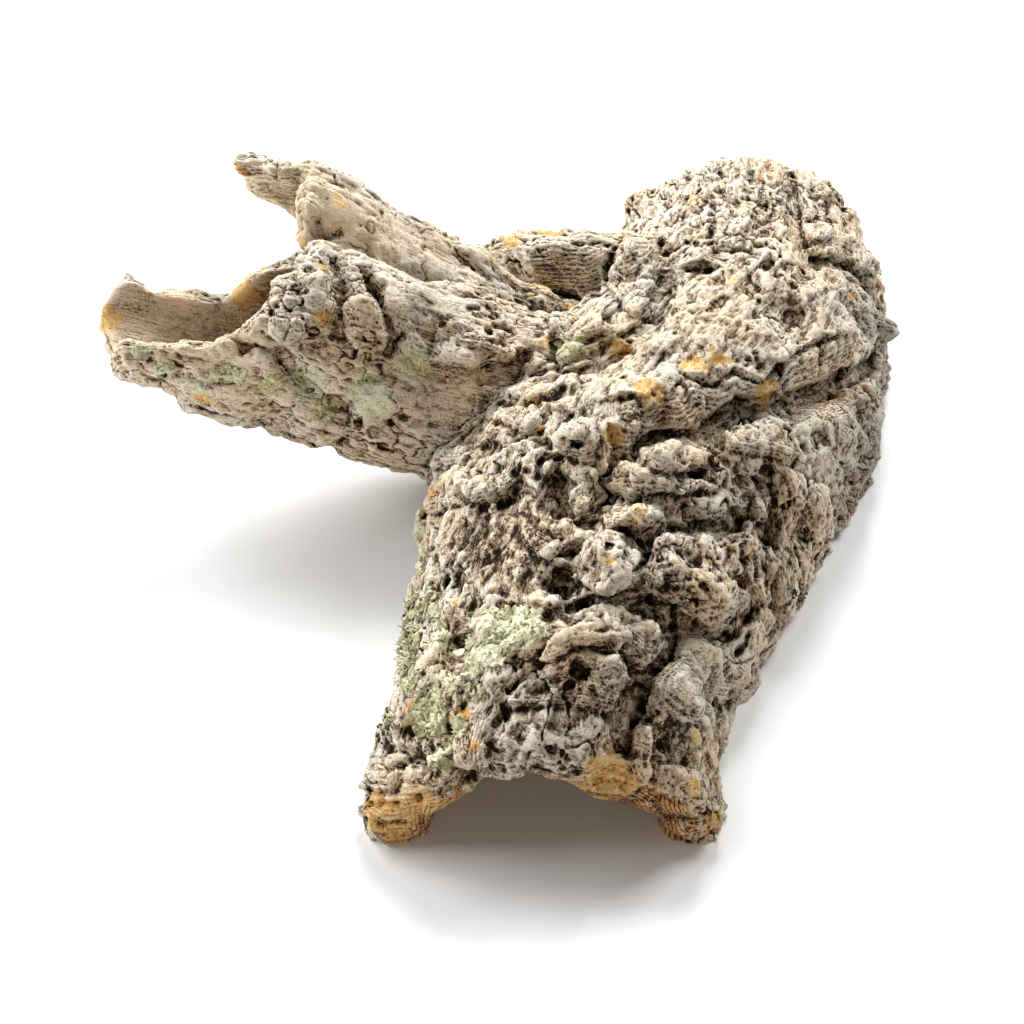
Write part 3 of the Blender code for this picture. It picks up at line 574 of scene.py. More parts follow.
@by_parts
def along(points, stations):
    """Each point in a limb's own terms: along it, sideways, up; its height over the skin; the way out."""
    path = spline(stations)
    nearest = np.full(len(points), np.inf)
    places = np.zeros((len(points), 3))
    height = np.zeros(len(points))
    outwards = np.zeros((len(points), 3))
    start = 0.0
    for here, there in zip(path, path[1:]):
        step = there[:3] - here[:3]
        length = np.linalg.norm(step)
        share = np.clip((points - here[:3]) @ step / length**2, 0, 1)
        away = points - here[:3] - share[:, None] * step
        distance = np.linalg.norm(away, axis=1) + TINY
        side = np.cross(step, (0, 0, 1))
        side /= np.linalg.norm(side)
        up = np.cross(side, step / length)
        half = here[3:5] + share[:, None] * (there[3:5] - here[3:5])
        reach = np.sqrt((away @ side / half[:, 0]) ** 2 + (away @ up / half[:, 1]) ** 2) + TINY
        closer = distance < nearest
        nearest[closer] = distance[closer]
        values = np.stack([start + share * length, away @ side, away @ up], axis=1)
        places[closer] = values[closer]
        height[closer] = (distance * (1 - 1 / reach))[closer]
        outwards[closer] = (away / distance[:, None])[closer]
        start += length
    return places, height, outwards


def limb_terms(points, limbs):
    """The terms of the limb whose skin each point lies on, and how near it is to the crease with another."""
    found = [along(points, stations) for stations in limbs]
    heights = np.stack([height for _, height, _ in found])
    owner = np.argmin(heights, axis=0)
    pick = np.arange(len(points))
    places = np.stack([place + 0.37 * index for index, (place, _, _) in enumerate(found)])[owner, pick]
    outwards = np.stack([out for _, _, out in found])[owner, pick]
    crease = np.ones(len(points))
    if len(limbs) > 1:
        rest = np.sort(heights, axis=0)
        crease = np.clip((rest[1] - rest[0]) / CREASE_REACH, 0, 1)
    return places, heights[owner, pick], outwards, crease


def vectors(mesh, kind):
    """The places ("co") or the normals ("normal") of a mesh's points."""
    found = np.empty(len(mesh.vertices) * 3, np.float32)
    mesh.vertices.foreach_get(kind, found)
    return found.reshape(-1, 3).astype(float)


def put_coordinates(mesh, points):
    """Moves the mesh's points."""
    mesh.vertices.foreach_set("co", points.astype(np.float32).ravel())
    mesh.update()


def above_floor(points):
    points[:, 2] = np.maximum(points[:, 2], 0.0)
    return points


def read_skin(mesh, limbs):
    """The skin's points and normals, their limb terms, and how far they face outwards and lie inside."""
    points = vectors(mesh, "co")
    out = vectors(mesh, "normal")
    places, height, outwards, crease = limb_terms(points, limbs)
    facing = (out * outwards).sum(axis=1)
    inside = np.clip((0.15 - facing) * 2.5, 0, 1) * np.clip((-height - 5 * MM) / (4 * MM), 0, 1)
    return points, out, places, height, crease, facing, inside


def put_number(mesh, name, values):
    layer = mesh.attributes.new(name, "FLOAT", "POINT")
    layer.data.foreach_set("value", values.astype(np.float32))


def put_vector(mesh, name, values):
    layer = mesh.attributes.new(name, "FLOAT_VECTOR", "POINT")
    layer.data.foreach_set("vector", values.astype(np.float32).ravel())


def modify(obj, kind, **settings):
    """Runs a modifier and puts what it makes into the object's mesh."""
    modifier = obj.modifiers.new("change", kind)
    for name, value in settings.items():
        setattr(modifier, name, value)
    bpy.context.view_layer.update()
    mesh = bpy.data.meshes.new_from_object(obj.evaluated_get(bpy.context.evaluated_depsgraph_get()))
    obj.modifiers.clear()
    obj.data = mesh


def mesh_from(bm, name):
    mesh = bpy.data.meshes.new(name)
    bm.to_mesh(mesh)
    bm.free()
    return mesh


def add_object(name, data):
    obj = bpy.data.objects.new(name, data)
    bpy.context.scene.collection.objects.link(obj)
    return obj


def joined_copy(name, meshes):
    """One closed skin around some solids, without the hair's gap between them."""
    bm = bmesh.new()
    for mesh in meshes:
        bm.from_mesh(mesh)
    bmesh.ops.remove_doubles(bm, verts=bm.verts, dist=0.002 * MM)
    bm.normal_update()
    for vert in bm.verts:
        vert.co += vert.normal * GAP_FILL
    return add_object(name, mesh_from(bm, name))


def tree_of(meshes):
    """A search tree of some meshes together."""
    corners = []
    faces = []
    for mesh in meshes:
        faces += [[index + len(corners) for index in face.vertices] for face in mesh.polygons]
        corners += [vert.co.copy() for vert in mesh.vertices]
    return BVHTree.FromPolygons(corners, faces)


def sight(pixel):
    """The way from the camera to a pixel."""
    forward = Vector((0.0, math.cos(LOOKING_DOWN), -math.sin(LOOKING_DOWN)))
    down = Vector((0.0, -math.sin(LOOKING_DOWN), -math.cos(LOOKING_DOWN)))
    across, below = ((value - PICTURE / 2) / FOCAL_PIXELS for value in pixel)
    return (forward + Vector((1, 0, 0)) * across + down * below).normalized()


def surface_point(tree, pixel):
    """The point of the solids that the photograph shows at a pixel, or else the nearest to its sight line."""
    line = sight(pixel)
    hit = tree.ray_cast(EYE, line)[0]
    if hit is None:
        tries = [tree.find_nearest(EYE + line * reach) for reach in np.arange(0.4, 0.95, 0.01)]
        hit = min(tries, key=lambda found: found[3])[0]
    return np.array(hit)


def surface_points(tree, pixels):
    return [surface_point(tree, pixel) for pixel in pixels]


def away_squared(points, tree, pixel):
    """Each point's squared distance from the place that the photograph shows at a pixel."""
    return ((points - surface_point(tree, pixel)) ** 2).sum(axis=1)


def closest(points, a, b):
    """The way from the nearest place on the line from a to b."""
    step = b - a
    share = np.clip((points - a) @ step / (step @ step), 0, 1)
    return points - a - share[:, None] * step


def to_line(points, corners):
    """Each point's distance from a line with corners."""
    nearest = np.full(len(points), np.inf)
    for a, b in zip(corners, corners[1:]):
        nearest = np.minimum(nearest, np.linalg.norm(closest(points, a, b), axis=1))
    return nearest


def pixels_of(points):
    """Where the photograph shows each point."""
    away = points - np.array(EYE)
    depth = away[:, 1] * math.cos(LOOKING_DOWN) - away[:, 2] * math.sin(LOOKING_DOWN)
    down = -away[:, 1] * math.sin(LOOKING_DOWN) - away[:, 2] * math.cos(LOOKING_DOWN)
    return PICTURE / 2 + FOCAL_PIXELS * np.stack([away[:, 0] / depth, down / depth], axis=1)


def oddly_crossed(places, lines):
    """Which places in a plane have an odd number of the lines to their right."""
    odd = np.zeros(len(places), bool)
    for (ax, ay), (bx, by) in lines:
        if ay != by:
            crosses = (places[:, 1] < ay) != (places[:, 1] < by)
            odd ^= crosses & (places[:, 0] < ax + (bx - ax) * (places[:, 1] - ay) / (by - ay))
    return odd


def within(places, outline):
    """Which places in the picture lie within an outline."""
    return oddly_crossed(places, zip(outline, outline[1:] + outline[:1]))


def faces_eye(points, out):
    return (out * (np.array(EYE) - points)).sum(axis=1) > TURNED_AWAY


def lobe_places(points, out, tree, lobes):
    """For each lobe: its lift, the points near it, which are within, how low they are, and their distance."""
    places = pixels_of(points)
    seen = faces_eye(points, out)
    for lift, *outline in lobes:
        corners = surface_points(tree, outline)
        middle = sum(corners) / len(corners)
        reach = max(np.linalg.norm(corner - middle) for corner in corners) + 6 * MM
        near = np.nonzero(seen & (((points - middle) ** 2).sum(axis=1) < reach**2))[0]
        distance = to_line(points[near], corners + corners[:1])
        rows = [pixel[1] for pixel in outline]
        lowness = np.clip((places[near, 1] - min(rows)) / (max(rows) - min(rows)), 0, 1)
        yield lift, near, within(places[near], outline), lowness, distance


def lobe_relief(points, out, tree, lobes):
    """Shells that rise towards their near edge and end there in a steep lip over a crease."""
    rise = np.zeros(len(points))
    for lift, near, held, lowness, distance in lobe_places(points, out, tree, lobes):
        shell = 0.1 + 0.55 * lowness - (0.3 + 0.7 * lowness) * np.exp(-distance / LIP)
        valley = -(0.2 + 0.8 * lowness) * np.exp(-distance / VALLEY)
        rise[near] += lift * np.where(held, shell, valley)
    return rise


def cliff_places(points, out, tree, cliffs):
    """For each cliff: its height, which fades at its ends, its points, their distances to rim and foot."""
    places = pixels_of(points)
    seen = faces_eye(points, out)
    for lift, rim, foot in cliffs:
        near = np.nonzero(seen & within(places, rim + foot[::-1]))[0]
        top, bottom = (to_line(points[near], surface_points(tree, line)) for line in (rim, foot))
        ends = [surface_points(tree, (rim[end], foot[end])) for end in (0, -1)]
        side = np.minimum(*(to_line(points[near], end) for end in ends))
        yield lift * np.clip(side / (4 * MM), 0, 1), near, top, bottom


def cliff_relief(points, out, tree, cliffs):
    """Steep faces from a raised rim down to a sunken foot."""
    rise = np.zeros(len(points))
    for lift, near, top, bottom in cliff_places(points, out, tree, cliffs):
        rise[near] += lift * (0.5 - 1.5 * top / (top + bottom + TINY))
    return rise


def layers(points, out, height, facing, tree, lobes, cliffs):
    """Each point's depth in the yearly layers in millimetres, and how plainly a face cuts across them."""
    layer = height / MM + 1.5 * rough(points, 26 * MM, 51, 2)
    wall = np.clip((np.sqrt(np.clip(1 - facing**2, 0, 1)) - 0.3) * 2, 0, 1)
    bend = 0.8 * rough(points, 9 * MM, 57, 2)
    for _, near, held, lowness, distance in lobe_places(points, out, tree, lobes):
        edge = np.clip(1.6 * lowness - 0.2, 0, 1) * np.clip(1.6 - distance / (7 * MM), 0, 1)
        take = held & (edge > 0.15)
        layer[near[take]] = (distance[take] / MM + bend[near[take]]) * 1.2
        wall[near[take]] = np.maximum(wall[near[take]], edge[take])
    for lift, near, top, _ in cliff_places(points, out, tree, cliffs):
        layer[near] = top / MM + bend[near]
        wall[near] = np.maximum(wall[near], np.clip(lift / 3, 0, 1))
    return layer, wall


def ledge_relief(points, corners, reach, lift):
    """A rise on the left of a line's course, and a slight fall on the right of it."""
    nearest = np.full(len(points), np.inf)
    side = np.zeros(len(points))
    for a, b in zip(corners, corners[1:]):
        away = closest(points, a, b)
        distance = np.linalg.norm(away, axis=1)
        left = np.cross(np.array(EYE) - a, b - a)
        closer = distance < nearest
        nearest[closer] = distance[closer]
        side[closer] = (away @ (left / np.linalg.norm(left)))[closer]
    high = lift * np.exp(-(nearest / (reach * MM)) ** 2)
    low = -0.5 * lift * np.exp(-(nearest / (0.3 * reach * MM)) ** 2)
    blend = np.clip(side / (0.8 * MM) + 0.5, 0, 1)
    return blend * high + (1 - blend) * low


def seen_relief(points, out, tree, lobes, cliffs, grooves, ledges, bumps, holes):
    """How far the relief that the photograph shows raises each point, in millimetres."""
    rise = lobe_relief(points, out, tree, lobes) + cliff_relief(points, out, tree, cliffs)
    for half_width, depth, *pixels in grooves:
        share = to_line(points, surface_points(tree, pixels)) / (half_width * MM)
        rise -= 1.15 * depth * np.exp(-1.2 * share**1.4)
    for reach, lift, *pixels in ledges:
        rise += ledge_relief(points, surface_points(tree, pixels), reach, lift)
    for reach, lift, *pixel in bumps:
        rise += lift * np.clip(1 - away_squared(points, tree, pixel) / (reach * MM) ** 2, 0, None) ** 1.5
    for radius, depth, *pixel in holes:
        rise -= depth * np.clip(1.15 - away_squared(points, tree, pixel) / (radius * MM) ** 2, 0, 1)
    return rise


def room_inwards(mesh, points, out):
    """How thick the bark is under each point, up to MOST_ROOM."""
    tree = tree_of([mesh])
    room = np.full(len(points), MOST_ROOM)
    for index, (point, way) in enumerate(zip(points, out)):
        hit = tree.ray_cast(Vector(point - way * 0.3 * MM), Vector(-way), MOST_ROOM)[3]
        if hit is not None:
            room[index] = hit
    return room


def carve(obj, tree, limbs, seen, calm):
    """The large relief: swells, blocks of two sizes and the cracks between them."""
    points, out, places, _, crease, _, inside = read_skin(obj.data, limbs)
    stretched = places * (0.62, 1.0, 1.0)
    warp = wander(points, 16, 1, 3, 3.2)
    to_eye = np.array(EYE) - points
    seen_share = np.clip(2.5 * (out * to_eye).sum(axis=1) / np.linalg.norm(to_eye, axis=1), 0, 1)
    rise = 1.5 * rough(points, 40 * MM, 5, 2)
    for size, depth, width, step, seed in BLOCKS:
        edge, number, place = blocks(stretched + warp, size * MM, seed)
        lift = (number & np.uint32(255)) / 255.0 - 0.5
        tilt = [((number >> np.uint32(shift)) & np.uint32(255)) / 127.5 - 1 for shift in (8, 16, 24)]
        crack = np.exp(-((edge / width) ** 2))
        slope = (np.stack(tilt, axis=1) * place).sum(axis=1)
        relief = step * (lift + 0.8 * slope) - depth * (crack - crack.mean())
        rise += relief * (0.65 - 0.35 * seen_share)
    rise += 0.75 * plates(stretched, 17, 91, 2.0, 0.25)
    rise += 1.1 * ridges(places * (0.3, 1.0, 1.0) + 0.5 * warp, 12, 111, 3)
    rise -= 2.2 * fissures(stretched, 15, 0.08, 95)
    rise *= 1 - 0.75 * patches(points, tree, calm, 97)
    rise *= 0.35 + 0.65 * crease
    rise += seen_relief(points + wander(points, 5, 7, 2, 0.6), out, tree, *seen)
    deepest = 0.45 * np.clip(room_inwards(obj.data, points, out) - KEPT_BARK, 0, None)
    rise = rise * (1 - 0.85 * inside)
    put_coordinates(obj.data, points + out * np.maximum(rise * MM, -deepest)[:, None])


def flowing(points, places, tree):
    """The points' places in fibre terms, turned where the photograph shows fibres that run otherwise."""
    turned = places.copy()
    torn = points + wander(points, 5, 101, 2, 1.5)
    nearest = np.ones(len(points))
    for index, (reach, *ends) in enumerate(FLOWS):
        a, b = surface_points(tree, ends)
        length = np.linalg.norm(b - a)
        if length < LEAST_FLOW:
            continue
        away = np.linalg.norm(closest(torn, a, b), axis=1) / (reach * MM)
        closer = away < nearest
        nearest[closer] = away[closer]
        way = (b - a) / length
        side = np.cross(way, (0, 0, 1))
        side /= np.linalg.norm(side)
        axes = np.stack([way, side, np.cross(side, way)], axis=1)
        turned[closer] = (points[closer] - a) @ axes + 0.5 * index
    return turned


def finely_carve(obj, tree, limbs, seen, calm):
    """The small relief: crumbs, pits, and the edges of the yearly layers where a break crosses them."""
    points, out, places, height, _, facing, inside = read_skin(obj.data, limbs)
    fibre_terms = flowing(points, places, tree)
    warp = wander(points, 6, 31, 2, 1.4)
    stretched = places * (0.7, 1.0, 1.0) + 0.5 * warp
    layer, wall = layers(points, out, height, facing, tree, *seen[:2])
    put_number(obj.data, "layer", layer)
    put_number(obj.data, "wall", wall)
    rise = 0.14 * rough(points, 5 * MM, 35, 3)
    rise += 0.18 * rough(fibre_terms * (0.1, 1, 1) + 0.3 * warp, 2.1 * MM, 37, 2)
    rise += 0.34 * plates(stretched, 10, 41, 2.2, 0.2)
    for size, width, depth, seed in FINE_FISSURES:
        rise -= depth * fissures(stretched, size, width, seed)
    rise += 0.36 * ridges(fibre_terms * (0.14, 1.0, 1.0) + 0.4 * warp, 3.6, 121, 2)
    rise -= 0.9 * pits(points, 12, 53, 0.9)
    rise *= 1 - 0.75 * patches(points, tree, calm, 97)
    ring = layer / RING
    rise += 0.7 * wall * (ring - np.floor(ring) - 0.5)
    points += out * (rise * (1 - 0.75 * inside) * MM)[:, None]
    put_coordinates(obj.data, above_floor(points))


def build_skin(name, nodes, limbs, seen, calm):
    """The carved and marked skin of some nodes."""
    solids = [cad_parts[node].data for node in nodes]
    tree = tree_of(solids)
    obj = joined_copy(name, solids)
    modify(obj, "REMESH", mode="VOXEL", voxel_size=SOFT_VOXEL)
    modify(obj, "SMOOTH", iterations=SMOOTHINGS, factor=0.5)
    carve(obj, tree, limbs, seen, calm)
    modify(obj, "REMESH", mode="VOXEL", voxel_size=FINE_VOXEL)
    finely_carve(obj, tree, limbs, seen, calm)
    mark(obj.data, tree, limbs)
    modify(obj, "DECIMATE", ratio=KEPT)
    put_coordinates(obj.data, above_floor(vectors(obj.data, "co")))
    return obj


def spread(values, a, b, degree, repeats):
    """Averages values over the mesh's edges, again and again."""
    for _ in range(repeats):
        total = values.copy()
        for column in range(values.shape[1]):
            total[:, column] += np.bincount(a, values[b, column], len(values))
            total[:, column] += np.bincount(b, values[a, column], len(values))
        values = total / (degree + 1)[:, None]
    return values


def hollows(mesh, points, out):
    """How much each point lies below its surroundings, in millimetres, for each width of HOLLOWS."""
    ends = np.empty(len(mesh.edges) * 2, np.int32)
    mesh.edges.foreach_get("vertices", ends)
    a, b = ends[0::2], ends[1::2]
    degree = np.bincount(a, minlength=len(points)) + np.bincount(b, minlength=len(points))
    smooth = points
    for name, repeats, _ in HOLLOWS:
        smooth = spread(smooth, a, b, degree, repeats)
        yield name, ((smooth - points) * out).sum(axis=1) / MM


def patches(points, tree, marks, seed):
    """Ragged patches round the marks: 1 in the middle of one, 0 off them."""
    torn = points + wander(points, 4, seed, 3, 1.3)
    most = np.full(len(points), -1.0)
    for x, y, reach in marks:
        most = np.maximum(most, 1 - np.sqrt(away_squared(torn, tree, (x, y))) / (reach * MM))
    return np.clip(most * 2.5, 0, 1)


def mark(mesh, tree, limbs):
    """Gives each point of the skin what its material is made from."""
    points, out, places, _, _, _, inside = read_skin(mesh, limbs)
    for name, depth in hollows(mesh, points, out):
        put_number(mesh, name, depth)
    put_number(mesh, "fresh", patches(points, tree, FRESH, 61))
    put_number(mesh, "lichen", patches(points, tree, LICHEN, 71))
    shade = np.zeros(len(points))
    # The shade mark: the bark's own tone together with painted light and shade
    for x, y, reach, lighter in TONES_AND_PAINTED_LIGHT:
        shade += lighter * np.exp(-((away_squared(points, tree, (x, y)) / (reach * MM) ** 2) ** 2))
    put_number(mesh, "shade", shade)
    put_number(mesh, "inside", inside)
    put_vector(mesh, "grain", flowing(points, places, tree) / MM)


class Nodes:
    """Short names for building a material's node tree."""

    def __init__(self, name):
        self.material = bpy.data.materials.new(name)
        self.material.use_nodes = True
        self.tree = self.material.node_tree
        self.shader = self.tree.nodes["Principled BSDF"]
        self.place = self.make("ShaderNodeTexCoord", {}).outputs["Object"]

    def feed(self, node, entries):
        for key, value in entries.items():
            if hasattr(value, "is_output"):
                self.tree.links.new(value, node.inputs[key])
            else:
                node.inputs[key].default_value = value

    def make(self, kind, entries, **settings):
        node = self.tree.nodes.new(kind)
        for name, value in settings.items():
            setattr(node, name, value)
        self.feed(node, entries)
        return node

    def read(self, name, output="Fac"):
        return self.make("ShaderNodeAttribute", {}, attribute_name=name).outputs[output]

    def math(self, operation, *values):
        return self.make("ShaderNodeMath", dict(enumerate(values)), operation=operation).outputs[0]

    def times(self, *values):
        return self.math("MULTIPLY", *values)

    def fit(self, *values):
        """Maps a value from between two numbers to between 0 and 1, or two other numbers."""
        return self.make("ShaderNodeMapRange", dict(enumerate(values)), clamp=True).outputs["Result"]

    def weigh(self, total, *parts):
        """Adds values to a total, each with its weight."""
        for value, weight in parts:
            total = self.math("MULTIPLY_ADD", value, weight, total)
        return total

    def sway(self, total, *parts):
        """Adds textures to a total, each by how far it is from its middle."""
        for texture, weight in parts:
            total = self.weigh(total, (self.math("SUBTRACT", texture, 0.5), weight))
        return total

    def mix(self, share, first, second, blend="MIX"):
        entries = {0: share, 6: first, 7: second}
        return self.make("ShaderNodeMix", entries, data_type="RGBA", blend_type=blend).outputs[2]

    def ragged(self, name, noise):
        """A patch that the mesh marks, with torn edges and some gaps."""
        return self.fit(self.sway(self.times(self.read(name), 0.9), (noise, 2.4)), 0.32, 0.60)

    def threads(self, noise, width):
        """Thin winding lines, where a noise passes through its middle."""
        return self.fit(self.math("ABSOLUTE", self.math("SUBTRACT", noise, 0.5)), 0.0, width, 1.0, 0.0)

    def ramp(self, value, stops):
        node = self.make("ShaderNodeValToRGB", {"Fac": value})
        elements = node.color_ramp.elements
        while len(elements) < len(stops):
            elements.new(0.5)
        for element, (position, *colour) in zip(elements, stops):
            element.position = position
            element.color = (*colour, 1)
        return node.outputs["Color"]

    def noise(self, scale, detail=3.0, roughness=0.6, where=None):
        place = self.place if where is None else where
        entries = {"Vector": place, "Scale": scale, "Detail": detail, "Roughness": roughness}
        return self.make("ShaderNodeTexNoise", entries).outputs["Fac"]

    def finish(self, colour, roughness, specular, relief, depth):
        """Feeds the shader and gives the material."""
        bump = self.make("ShaderNodeBump", {"Strength": 1.0, "Distance": depth, "Height": relief})
        self.feed(self.shader, {"Base Color": colour, "Roughness": roughness, "Specular IOR Level": specular,
                                "Normal": bump.outputs["Normal"]})
        return self.material


def bark_material():
    n = Nodes("bark")
    inside = n.read("inside")
    wall = n.read("wall")
    entries = {0: n.read("grain", "Vector"), 1: ALONG_FIBRES}
    grain = n.make("ShaderNodeVectorMath", entries, operation="MULTIPLY")
    fibres = n.noise(1.0, 3.0, 0.7, grain.outputs[0])
    crumbs = n.noise(800.0, 4.0, 0.75)
    specks = n.noise(1800.0, 2.0, 0.7)
    ring = n.weigh(n.read("layer"), (n.noise(320.0), 0.45))
    band = n.math("PINGPONG", ring, 0.5 * RING)
    lines = n.times(n.fit(band, 0.0, 0.42, 1.0, 0.0), n.fit(wall, 0.0, 0.8, 0.15, 1.0))
    veins = n.times(n.threads(n.noise(210.0, 4.0, 0.65), 0.022), n.fit(n.noise(90.0, 2.0), 0.45, 0.6))
    hairs = n.threads(n.noise(480.0, 3.0, 0.65), 0.03)
    # Pores: little holes that are only bumped, painted near black as the shade inside them
    cells = n.make("ShaderNodeTexVoronoi", {"Vector": n.place, "Scale": 420.0}).outputs["Distance"]
    holes = n.times(n.fit(cells, 0.12, 0.22, 1.0, 0.0), n.fit(n.noise(120.0, 2.0), 0.56, 0.66))
    # How light the bark is: painted shade darkens each point by how deep it lies in a hollow, and raised
    # places come out lighter
    tone = n.weigh(0.87, *((n.read(name), weight) for name, _, weight in HOLLOWS))
    tone = n.sway(tone, (crumbs, 1.1), (specks, 0.7), (fibres, 1.9), (n.noise(130.0), 0.7))
    # The shade mark adds painted light and shade along with the bark's own tone
    tone = n.weigh(tone, (lines, -0.52), (veins, -0.40), (hairs, -0.14), (wall, -0.08), (inside, -0.12),
                   (n.read("shade"), 1.0))
    weathered = n.ramp(tone, WEATHERED)
    warm = n.mix(n.fit(n.noise(28.0, 2.0, 0.5), 0.42, 0.62, 0.0, 0.6), weathered, WARM_WASH, "MULTIPLY")
    level = n.make("ShaderNodeSeparateXYZ", {0: n.place})
    under = n.times(inside, n.fit(level.outputs["Z"], 0.05, 0.07, 1.0, 0.25))
    warm = n.mix(under, warm, UNDER_WASH, "MULTIPLY")
    broken = n.ramp(n.weigh(n.times(tone, 0.4), (crumbs, 0.8)), BROKEN)
    specked = n.times(n.fit(n.noise(230.0), 0.60, 0.66), n.fit(n.noise(52.0, 2.0), 0.5, 0.6))
    fresh = n.math("MAXIMUM", n.ragged("fresh", n.noise(520.0, 4.0, 0.7)), n.times(specked, 0.75))
    colour = n.mix(fresh, warm, broken)
    grown = n.ramp(n.weigh(n.times(tone, 0.6), (crumbs, 0.6)), GROWN)
    colour = n.mix(n.ragged("lichen", n.noise(300.0)), colour, grown)
    colour = n.mix(n.times(holes, 0.9), colour, PORE_SHADE_COLOUR)
    relief = n.weigh(n.times(crumbs, 1.2), (fibres, 0.7), (lines, -0.6), (veins, -0.5), (hairs, -0.25),
                     (holes, -0.8), (specks, 0.4))
    return n.finish(colour, 0.92, 0.2, relief, 0.9 * MM)


def lichen_material():
    n = Nodes("lichen")
    fine = n.noise(1500.0, 3.0, 0.7)
    coarse = n.noise(420.0)
    tone = n.sway(n.read("paleness"), (fine, 0.9), (coarse, 0.8))
    colour = n.mix(n.read("yellowness"), n.ramp(tone, MINT), n.ramp(tone, YELLOW))
    return n.finish(colour, 0.9, 0.15, n.math("ADD", fine, coarse), 0.4 * MM)


def crumb_material():
    n = Nodes("dark_crumbs")
    return n.finish(n.ramp(n.noise(900.0, 3.0, 0.7), DARK), 0.9, 0.5, n.noise(1800.0), 0.3 * MM)


def in_oval(chance, oval):
    """A pixel somewhere in an oval."""
    x, y, half_width, half_height = oval
    angle = chance.uniform(0, math.tau)
    share = math.sqrt(chance.random())
    return x + half_width * share * math.cos(angle), y + half_height * share * math.sin(angle)


def add_flake(bm, tree, place, out, radius, curl, chance):
    """A thin scalloped flake that follows the bark and curls up at its rim."""
    side = out.orthogonal().normalized()
    up = out.cross(side)
    spin = chance.uniform(0, math.tau)
    lobes = chance.choice((3, 4, 5))
    deep = chance.uniform(0.12, 0.3)
    rows = []
    for share in (0.0, 0.4, 0.75, 1.0):
        row = []
        for step in range(FLAKE_STEPS if share else 1):
            angle = math.tau * step / FLAKE_STEPS
            wave = math.sin(lobes * angle + spin)
            reach = radius * share * (1 + deep * wave + 0.08 * math.sin(7 * angle + 2 * spin))
            ground = tree.find_nearest(place + (side * math.cos(angle) + up * math.sin(angle)) * reach)[0]
            lift = (0.45 + curl * share**3 * (0.5 + 0.5 * wave)) * MM
            row.append((bm.verts.new(ground + out * lift), bm.verts.new(ground - out * 0.5 * MM)))
        rows.append(row)
    for inner, outer in zip(rows, rows[1:]):
        for step in range(FLAKE_STEPS):
            a, b = outer[step], outer[(step + 1) % FLAKE_STEPS]
            c, d = inner[(step + 1) % len(inner)], inner[step % len(inner)]
            if c is d:
                bm.faces.new((d[0], a[0], b[0]))
                bm.faces.new((d[1], b[1], a[1]))
            else:
                bm.faces.new((d[0], a[0], b[0], c[0]))
                bm.faces.new((d[1], c[1], b[1], a[1]))
    for a, b in zip(rows[-1], rows[-1][1:] + rows[-1][:1]):
        bm.faces.new((a[0], a[1], b[1], b[0]))
    return [vert for row in rows for pair in row for vert in pair]


def add_strand(bm, place, out, length, chance):
    """A thin tapered strand that leaves the bark and bends."""
    way = (out + Vector([chance.uniform(-0.8, 0.8) for _ in range(3)])).normalized()
    bend = Vector([chance.uniform(-0.5, 0.5) for _ in range(3)])
    middle = place - way * 0.4 * MM
    rows = []
    for step in range(STRAND_ROWS):
        side = way.orthogonal().normalized()
        up = way.cross(side)
        radius = (0.42 - 0.05 * step) * MM
        rows.append([bm.verts.new(middle + (side * math.cos(a) + up * math.sin(a)) * radius)
                     for a in (0, math.tau / 4, math.tau / 2, 3 * math.tau / 4)])
        middle = middle + way * length * MM / (STRAND_ROWS - 1)
        way = (way + bend * 0.5).normalized()
    for lower, upper in zip(rows, rows[1:]):
        shift = min(range(4), key=lambda turn: (upper[turn].co - lower[0].co).length)
        for step in range(4):
            bm.faces.new((lower[step], lower[(step + 1) % 4], upper[(step + 1 + shift) % 4],
                          upper[(step + shift) % 4]))
    bm.faces.new(rows[0][::-1])
    bm.faces.new(rows[-1])
    return [vert for row in rows for vert in row]


def add_crumb(bm, place, out, radius, chance):
    """A jagged little ball."""
    made = bmesh.ops.create_icosphere(bm, subdivisions=1, radius=1.0)["verts"]
    shape = Vector([chance.uniform(0.6, 1.3) for _ in range(3)]) * radius * MM
    for vert in made:
        jagged = chance.uniform(0.75, 1.2)
        vert.co = place + out * 0.2 * radius * MM + Vector(a * b for a, b in zip(vert.co, shape)) * jagged
    return made


def add_growth(name, material, smooth, fill):
    """A piece of many small bodies that sit on the bark."""
    bm = bmesh.new()
    fill(bm)
    mesh = mesh_from(bm, name)
    mesh.polygons.foreach_set("use_smooth", [smooth] * len(mesh.polygons))
    mesh.materials.append(material)
    obj = add_object(name, mesh)
    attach(obj, "root")


def add_growths(tree):
    """Lichen, its strands, and dark crumbs, on the finished bark."""
    chance = random.Random(7)

    def sown(table):
        """Where each body of a table sits, its way out of the bark, its size, and what else its row says."""
        for count, least, greatest, *rest, oval in table:
            for _ in range(count):
                place, out = tree.ray_cast(EYE, sight(in_oval(chance, oval)))[:2]
                yield place, out, chance.uniform(least, greatest), *rest

    def flakes(growths, bm):
        paleness = bm.verts.layers.float.new("paleness")
        yellowness = bm.verts.layers.float.new("yellowness")
        for place, out, radius, curl, yellow in sown(growths):
            pale = chance.uniform(0.35, 0.85)
            tint = min(max(yellow + chance.uniform(-0.2, 0.2), 0), 1)
            if place is not None:
                for vert in add_flake(bm, tree, place, out, radius * MM, curl, chance):
                    vert[paleness] = pale
                    vert[yellowness] = tint

    def bodies(table, add, bm):
        paleness = bm.verts.layers.float.new("paleness")
        for place, out, size in sown(table):
            pale = chance.uniform(0.2, 0.8)
            if place is not None:
                for vert in add(bm, place, out, size, chance):
                    vert[paleness] = pale

    lichen = lichen_material()
    for node, growths in GROWTHS.items():
        add_growth(node + "_lichen", lichen, True, lambda bm: flakes(growths, bm))
    add_growth("lichen_strands", lichen, True, lambda bm: bodies(TUFTS, add_strand, bm))
    add_growth("dark_crumbs", crumb_material(), False, lambda bm: bodies(CRUMBS, add_crumb, bm))


